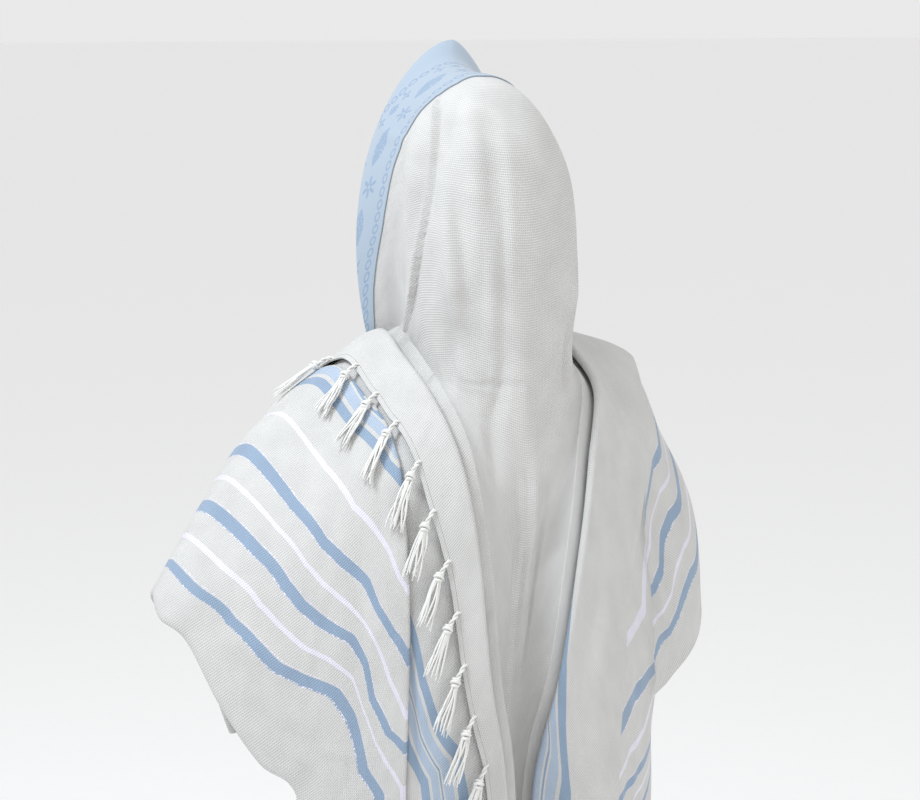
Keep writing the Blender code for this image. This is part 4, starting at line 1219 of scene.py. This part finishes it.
STRIP_GAP = 0.0003  # between the cloth and the strip that carries the fringe
TASSEL_POINTS = 40
CORD_RADIUS, CORD_TWIST = 0.0013, 420  # of a tassel's two cords; the twist is in radians a metre
KNOT_AT, KNOT_LENGTH, KNOT_RADIUS, KNOT_TURNS = 0.022, 0.008, 0.0042, 2.5
BRUSH_STRANDS = 13
BRUSH_ROOT, BRUSH_SPREAD, BRUSH_BEND = 0.0018, 0.0060, 0.0024
BRUSH_FLATNESS, BRUSH_LIFT = 0.42, 0.0006
BRUSH_WIDTHS = (0.95, 1, 1, 1, 1, 0.95, 0.9, 0.8, 0.45)

# A corner cord is wound as far as its last knot, and then eight strands hang loose.
CORD_KNOTS = (0.010, 0.058, 0.104, 0.112)
WINDING_PITCH, WINDING_RADIUS, WINDING_POINTS = 0.0019, 0.0018, 420
CORD_KNOT_RISE, CORD_KNOT_LENGTH = 0.0016, 0.0042
STRANDS, STRAND_LENGTH, STRAND_POINTS = 8, 0.16, 16
FRINGE_SEED, CORD_SEED = 11, 7


def hung(form, root, p, q, lifts, lean):
    """A tassel's points from its root, and which way is out at each. It lies on the form and
    leans out from the edge; then it drops, or on the right it runs down with the cloth."""
    p, q = nearest(form, root, p, q)
    line, outs, before = [root], [], 0.0
    for k, distance in enumerate(TASSEL_DROPS):
        down, over = (unit(v) for v in form.slopes(p, q))
        n = form.normal(p, q)
        fall = down if form is RIGHT else unit(n * n[2] - (0, 0, 1))
        share = lean[min(k, len(lean) - 1)]
        way = unit(fall * (1 - share) - over * share)
        p, q = nearest(form, form.at(p, q) + way * (distance - before), p, q)
        line.append(form.at(p, q, lifts[min(k, len(lifts) - 1)]))
        outs.append(form.normal(p, q))
        before = distance
    return line, [outs[0], *outs]


def smooth_line(points):
    """A Catmull-Rom curve through points."""
    return curve(points, np.linspace(0, len(points) - 1, TASSEL_POINTS))


def tassel_lines(line, outs, flat, random):
    """A tassel's yarns: two twisted cords, the knot's turns and the loose brush."""
    points = smooth_line(line)
    ahead = unit(np.gradient(points, axis=0))
    side = unit(np.cross(unit(smooth_line(outs)), ahead))
    out = unit(np.cross(ahead, side))
    run = run_along(points)
    lines = []

    def at(distance, across, lift):
        middle, aside, up = (follow(run, v, distance) for v in (points, side, out))
        return middle + aside * across + up * lift

    for phase in (0, math.pi):
        cord = []
        for distance in np.linspace(0, KNOT_AT + 0.003, 12):
            a = phase + distance * CORD_TWIST
            cord.append(at(distance, CORD_RADIUS * math.cos(a), CORD_RADIUS * math.sin(a)))
        lines.append((cord, [1.15] * len(cord)))
    knot = []
    for share in np.linspace(0, 1, 26):
        a = 2 * math.pi * KNOT_TURNS * share
        radius = KNOT_RADIUS * math.sin(math.pi * (0.18 + 0.64 * share))
        distance = KNOT_AT + KNOT_LENGTH * (share - 0.5)
        knot.append(at(distance, radius * math.cos(a), radius * math.sin(a)))
    lines.append((knot, [1.5] * len(knot)))
    for k in range(BRUSH_STRANDS):
        a = 2 * math.pi * k / BRUSH_STRANDS + random.uniform(-0.3, 0.3)
        spread = BRUSH_SPREAD * random.uniform(0.6, 1.25)
        length = run[-1] * random.uniform(0.88, 1.0) - KNOT_AT
        bend = BRUSH_BEND * random.uniform(-1, 1)
        strand = []
        for share in np.linspace(0, 1, len(BRUSH_WIDTHS)):
            radius = BRUSH_ROOT + spread * share**0.8
            across = radius * math.cos(a) + bend * math.sin(5 * share + k)
            lift = radius * math.sin(a) * BRUSH_FLATNESS * flat + BRUSH_LIFT
            strand.append(at(KNOT_AT + length * share, across, lift))
        lines.append((strand, BRUSH_WIDTHS))
    return lines


def fringe_yarns(form, edge, p, column, how):
    """Every yarn of one fringe, from its roots along the edge."""
    spacing, flat, lifts, lean = how
    random = np.random.default_rng(FRINGE_SEED)
    run = run_along(edge)
    count = int(run[-1] / spacing)
    lines = []
    for place in (np.arange(count) + 0.5) * run[-1] / count:
        root = follow(run, edge, place)
        start = np.interp(place, run, p), np.interp(place, run, column)
        lines += tassel_lines(*hung(form, root, *start, lifts, lean), flat, random)
    return lines


def edge_strip(name, edge, out, kind):
    """The narrow woven strip that carries a fringe, close along the cloth's edge."""
    far = EDGE_CLEARANCE + SEAM + BACKING
    grid = np.stack([edge + out * at for at in np.linspace(STRIP_GAP, far, 3)], axis=1)
    return cloth_wall(name, grid, np.full(grid.shape[:2], PLAIN_COORDINATE), WALL, kind)


def corner_cord_lines(corner, random):
    """A corner cord: wound stretches between knots round a core, then loose strands."""
    length = CORD_KNOTS[-1]
    wound = []
    for drop in np.linspace(0, length, WINDING_POINTS):
        near = max(math.exp(-(((drop - at) / CORD_KNOT_LENGTH) ** 2)) for at in CORD_KNOTS)
        radius = WINDING_RADIUS + CORD_KNOT_RISE * near
        a = 2 * math.pi * drop / WINDING_PITCH
        wound.append(corner + (radius * math.cos(a), radius * math.sin(a), -drop))
    core = [corner - (0, 0, drop) for drop in np.linspace(0, length, 12)]
    lines = [(wound, [1.1] * len(wound)), (core, [2.0] * len(core))]
    for k in range(STRANDS):
        a = 2 * math.pi * (k + random.uniform(-0.2, 0.2)) / STRANDS
        out, side = np.array(((math.cos(a), math.sin(a), 0), (-math.sin(a), math.cos(a), 0)))
        reach = STRAND_LENGTH * random.uniform(0.93, 1.0)
        strand = []
        for share in np.linspace(0, 1, STRAND_POINTS):
            middle = corner - (0, 0, length - 0.004 + reach * share)
            wave = side * 0.0012 * math.sin(7 * share + 2.1 * k)
            strand.append(middle + out * (0.0014 + 0.0044 * share) + wave)
        lines.append((strand, [1.0] * (STRAND_POINTS - 1) + [0.6]))
    return lines


# ---- Sizes, colours and operators ----


def length_property(name, description, default, least):
    return bpy.props.FloatProperty(
        name=name, description=description, default=default, min=least,
        subtype="DISTANCE", unit="LENGTH",
    )


class ShawlSizes(bpy.types.PropertyGroup):
    """Sizes of the weave and the yarns."""

    rib_spacing: length_property("Rib Spacing", "From rib to rib of the weave", RIB_SPACING, 0.0005)
    cross_spacing: length_property("Cross Spacing", "From thread to thread", CROSS_SPACING, 0.0005)
    rib_depth: length_property("Rib Depth", "How deep the weave's relief is", RIB_DEPTH, 0.0)
    yarn_radius: length_property("Yarn Radius", "Radius of a fringe yarn", YARN_RADIUS, 0.0002)


def colour_property(name, description, default):
    return bpy.props.FloatVectorProperty(
        name=name, description=description, default=default, size=3, min=0, max=1, subtype="COLOR"
    )


class ShawlColours(bpy.types.PropertyGroup):
    """Colours of the cloth, its stripes, the neckband and the threads."""

    cloth: colour_property("Cloth", "Plain wool cloth", (0.68, 0.68, 0.672))
    stripe: colour_property("Stripe", "Wide stripes", (0.30, 0.41, 0.56))
    pale: colour_property("Pale Stripe", "Pale stripes of the band", (0.46, 0.56, 0.70))
    # Lighter and more lilac than the cloth: the satin stripes' own colour lifted by painted sheen.
    satin: colour_property("Satin Stripe", "Narrow satin stripes", (0.84, 0.82, 0.93))
    neckband: colour_property("Neckband", "Satin ground of the neckband", (0.35, 0.43, 0.52))
    motif: colour_property("Motif", "Woven motifs of the neckband", (0.24, 0.33, 0.46))
    thread: colour_property("Thread", "Fringe and corner cords", (0.84, 0.84, 0.82))


class ShawlOperator:
    """What the shawl's operators share."""

    bl_options = {"REGISTER", "UNDO"}

    def execute(self, context):
        self.make(context.scene.shawl_sizes, context.scene.shawl_colours)
        return {"FINISHED"}


BODY_NODES = (
    "hood_front", "hood_rear", "back", "left_inner_layer", "right_inner_upper", "right_inner_lower",
)


class SHAWL_OT_body(ShawlOperator, bpy.types.Operator):
    """Make the hood, the back and the inner layer over both arms"""

    bl_idname = "shawl.body"
    bl_label = "Hood and Back"

    def make(self, sizes, colours):
        kind = cloth_material(sizes, colours)
        grid, _ = fine_body()
        cut = np.full(grid.shape[:2], PLAIN_COORDINATE)
        piece = cloth_wall("shawl_body", grid, cut, WALL, kind)
        declare(piece, "cloth", *BODY_NODES)
        cloth_sheet(grid)


class SHAWL_OT_drapes(ShawlOperator, bpy.types.Operator):
    """Make the striped outer layer over each arm"""

    bl_idname = "shawl.drapes"
    bl_label = "Arm Drapes"

    def make(self, sizes, colours):
        kind = cloth_material(sizes, colours)
        for side, drape, nodes in (
            ("left", left_drape, ("left_drape_front", "left_drape_upper", "left_drape_lower")),
            ("right", right_drape, ("right_drape_upper", "right_drape_lower")),
        ):
            grid, cut = drape()
            piece = cloth_wall(f"shawl_{side}_arm_drape", grid, cut, WALL, kind)
            declare(piece, "cloth", *nodes)
            cloth_sheet(grid)


def fringe_pieces(side, form, edge, p, column, how, kind, thread, radius):
    """One end's tassels, and the strip that carries them."""
    lines = fringe_yarns(form, edge, p, column, how)
    brush = yarns(f"shawl_fringe_{side}", lines, radius, thread)
    out = -unit(form.slopes(p, column)[1])
    backing = edge_strip(f"shawl_fringe_strip_{side}", edge, out, kind)
    for piece in (brush, backing):
        declare(piece, "thread", f"fringe_{side}")
    return [brush, backing]


def corner_pieces(side, form, layer, p, satin, thread, radius, random):
    """One end's corner squares, and the cords that hang from them."""
    lift = WALL / 2 + SEAM + CORNER_WALL / 2
    raised = layer + form.normal(p, np.full_like(p, FOLD_COLUMN))[:, None] * lift
    pieces = []
    for where, rows, last in (
        ("front", slice(0, ROW_SPLIT + 1), 0), ("back", slice(-ROW_SPLIT - 1, None), -1),
    ):
        name = f"shawl_corner_{side}_{where}"
        u, v = metric(raised[rows])
        patch = cloth_wall(name, raised[rows], u, CORNER_WALL, satin, across=v - v[0])
        declare(patch, "satin", f"corner_{side}_{where}")
        corner = layer[last].mean(axis=0) - (0, 0, SEAM)
        lines = corner_cord_lines(corner, random)
        cord = yarns(f"shawl_tzitzit_{side}_{where}", lines, radius, thread)
        declare(cord, "thread", f"tzitzit_{side}_{where}")
        pieces += [patch, cord]
    return pieces


# Each end: its form, edges, angle, the layer and column that carry the fringe, the fringe,
# what makes its cloth, and the solids that the end stands for.
ENDS = (
    ("left", LEFT, LEFT_EDGES, 0.0, 2, -1, LEFT_FRINGE, left_end_grid, ("left_end_upper", "left_end_lower")),
    ("right", RIGHT, RIGHT_EDGES, math.pi, 0, 0, RIGHT_FRINGE, right_end_grid, ("right_end",)),
)


class SHAWL_OT_ends(ShawlOperator, bpy.types.Operator):
    """Make the two ends with their turned edges, fringes, and corner squares and cords"""

    bl_idname = "shawl.ends"
    bl_label = "Ends and Fringes"

    def make(self, sizes, colours):
        radius = sizes.yarn_radius
        kind, thread = cloth_material(sizes, colours), thread_material(colours)
        satin = neckband_material(colours)
        random = np.random.default_rng(CORD_SEED)
        for side, form, edges, angle, number, at, how, end, nodes in ENDS:
            layers, *cut = end()
            grid = np.concatenate(layers, axis=1)
            cloth = cloth_wall(f"shawl_{side}_end", grid, cut[0], WALL, kind, *cut[1:])
            declare(cloth, "cloth", *nodes)
            layer, p = layers[number], fine_rows(angle)
            column = interpolated(edges, p)[1]
            trim = fringe_pieces(side, form, layer[:, at], p, column, how, kind, thread, radius)
            trim += corner_pieces(side, form, layer, p, satin, thread, radius, random)
            cloth_sheet(grid)


class SHAWL_OT_neckband(ShawlOperator, bpy.types.Operator):
    """Make the satin neckband that frames the face"""

    bl_idname = "shawl.neckband"
    bl_label = "Neckband"

    def make(self, sizes, colours):
        kind = neckband_material(colours)
        grid, flap = fine_body()
        last = (BAND_ROWS - 1) * ROW_SPLIT + 1
        lift = grid_normals(grid) * BODY_OUT * (WALL / 2 + SEAM + NECKBAND_WALL / 2)
        band = (grid + lift)[:last, flap:-flap]
        u, v = metric(band)
        across = MOTIF_WIDTH - (v[-1] - v)
        piece = cloth_wall("shawl_neckband", band, u[-1], NECKBAND_WALL, kind, across=across)
        declare(piece, "satin", "neckband")
        cloth_sheet(band)


# Camera and stage. The camera looks from behind the wearer's left.
AZIMUTH = 152.0
ELEVATION = 10.0
DISTANCE = 2.3
LENS = 85.7
SENSOR = 36.0
FLOOR_DROP = 0.04
FLOOR_SIZE = 120.0
FLOOR_DARK, FLOOR_LIGHT = (0.95, 0.95, 0.95, 1), (0.97, 0.97, 0.97, 1)
WORLD_STRENGTH = 0.82
LIGHTS = (  # name, azimuth, elevation, distance, size, power, colour
    ("key", AZIMUTH - 62, 55, 2.6, 0.9, 50, (0.90, 0.95, 1.0)),
    ("fill", AZIMUTH + 40, 8, 3.0, 2.0, 10, (1.0, 0.96, 0.90)),
)


def direction(azimuth, elevation):
    a, e = math.radians(azimuth), math.radians(elevation)
    return Vector((math.sin(a) * math.cos(e), -math.cos(a) * math.cos(e), math.sin(e)))


def aim(obj, azimuth, elevation, distance):
    """Puts an object where it looks at the shawl from an azimuth and elevation."""
    way = direction(azimuth, elevation)
    obj.location = Vector(CENTRE) + way * distance
    obj.rotation_euler = (-way).to_track_quat("-Z", "Y").to_euler()


def add_light(name, azimuth, elevation, distance, size, power, colour):
    """A soft area light."""
    data = bpy.data.lights.new(name, "AREA")
    data.shape = "DISK"
    data.size = size
    data.energy = power
    data.color = colour
    aim(linked(name, data), azimuth, elevation, distance)


class SHAWL_OT_stage(ShawlOperator, bpy.types.Operator):
    """Make the pale floor, the soft studio light and the camera"""

    bl_idname = "shawl.stage"
    bl_label = "Stage"

    def make(self, sizes, colours):
        scene = bpy.context.scene
        scene.view_settings.view_transform = "Standard"
        floor_mesh = bpy.data.meshes.new("floor")
        z, s = CAD_BOX[0][2] - FLOOR_DROP, FLOOR_SIZE
        floor_mesh.from_pydata([(-s, -s, z), (s, -s, z), (s, s, z), (-s, s, z)], [], [(0, 1, 2, 3)])
        floor = linked("floor", floor_mesh)
        kind, t, shader = principled("pale_floor", 0.9)
        speckle = t.noise(t.read("ShaderNodeTexCoord", "Object"), 60.0, 2.0)
        t.feed(shader["Base Color"], t.mix(speckle, FLOOR_DARK, FLOOR_LIGHT))
        floor_mesh.materials.append(kind)
        world = bpy.data.worlds.new("studio")
        world.use_nodes = True
        ground = world.node_tree.nodes["Background"]
        ground.inputs["Color"].default_value = (1.0, 1.0, 1.0, 1)
        ground.inputs["Strength"].default_value = WORLD_STRENGTH
        scene.world = world
        for light in LIGHTS:
            add_light(*light)
        camera_data = bpy.data.cameras.new("camera")
        camera_data.lens = LENS
        camera_data.sensor_width = SENSOR
        camera = linked("camera", camera_data)
        aim(camera, AZIMUTH, ELEVATION, DISTANCE)
        scene.camera = camera


class SHAWL_PT_panel(bpy.types.Panel):
    """Shows the shawl's sizes and colours, and makes its pieces"""

    bl_idname = "SHAWL_PT_panel"
    bl_label = "Prayer Shawl"
    bl_space_type = "VIEW_3D"
    bl_region_type = "UI"
    bl_category = "Shawl"

    def draw(self, context):
        for group in (context.scene.shawl_sizes, context.scene.shawl_colours):
            for name in group.__annotations__:
                self.layout.prop(group, name)
        for operator in OPERATORS:
            self.layout.operator(operator.bl_idname)


OPERATORS = (SHAWL_OT_stage, SHAWL_OT_body, SHAWL_OT_drapes, SHAWL_OT_ends, SHAWL_OT_neckband)
CLASSES = (ShawlSizes, ShawlColours, *OPERATORS, SHAWL_PT_panel)


def register():
    for kind in CLASSES:
        bpy.utils.register_class(kind)
    bpy.types.Scene.shawl_sizes = bpy.props.PointerProperty(type=ShawlSizes)
    bpy.types.Scene.shawl_colours = bpy.props.PointerProperty(type=ShawlColours)


def unregister():
    del bpy.types.Scene.shawl_sizes
    del bpy.types.Scene.shawl_colours
    for kind in reversed(CLASSES):
        bpy.utils.unregister_class(kind)


def main():
    register()
    bpy.ops.shawl.stage()
    bpy.ops.shawl.body()
    bpy.ops.shawl.drapes()
    bpy.ops.shawl.ends()
    bpy.ops.shawl.neckband()


if __name__ == "__main__":
    main()
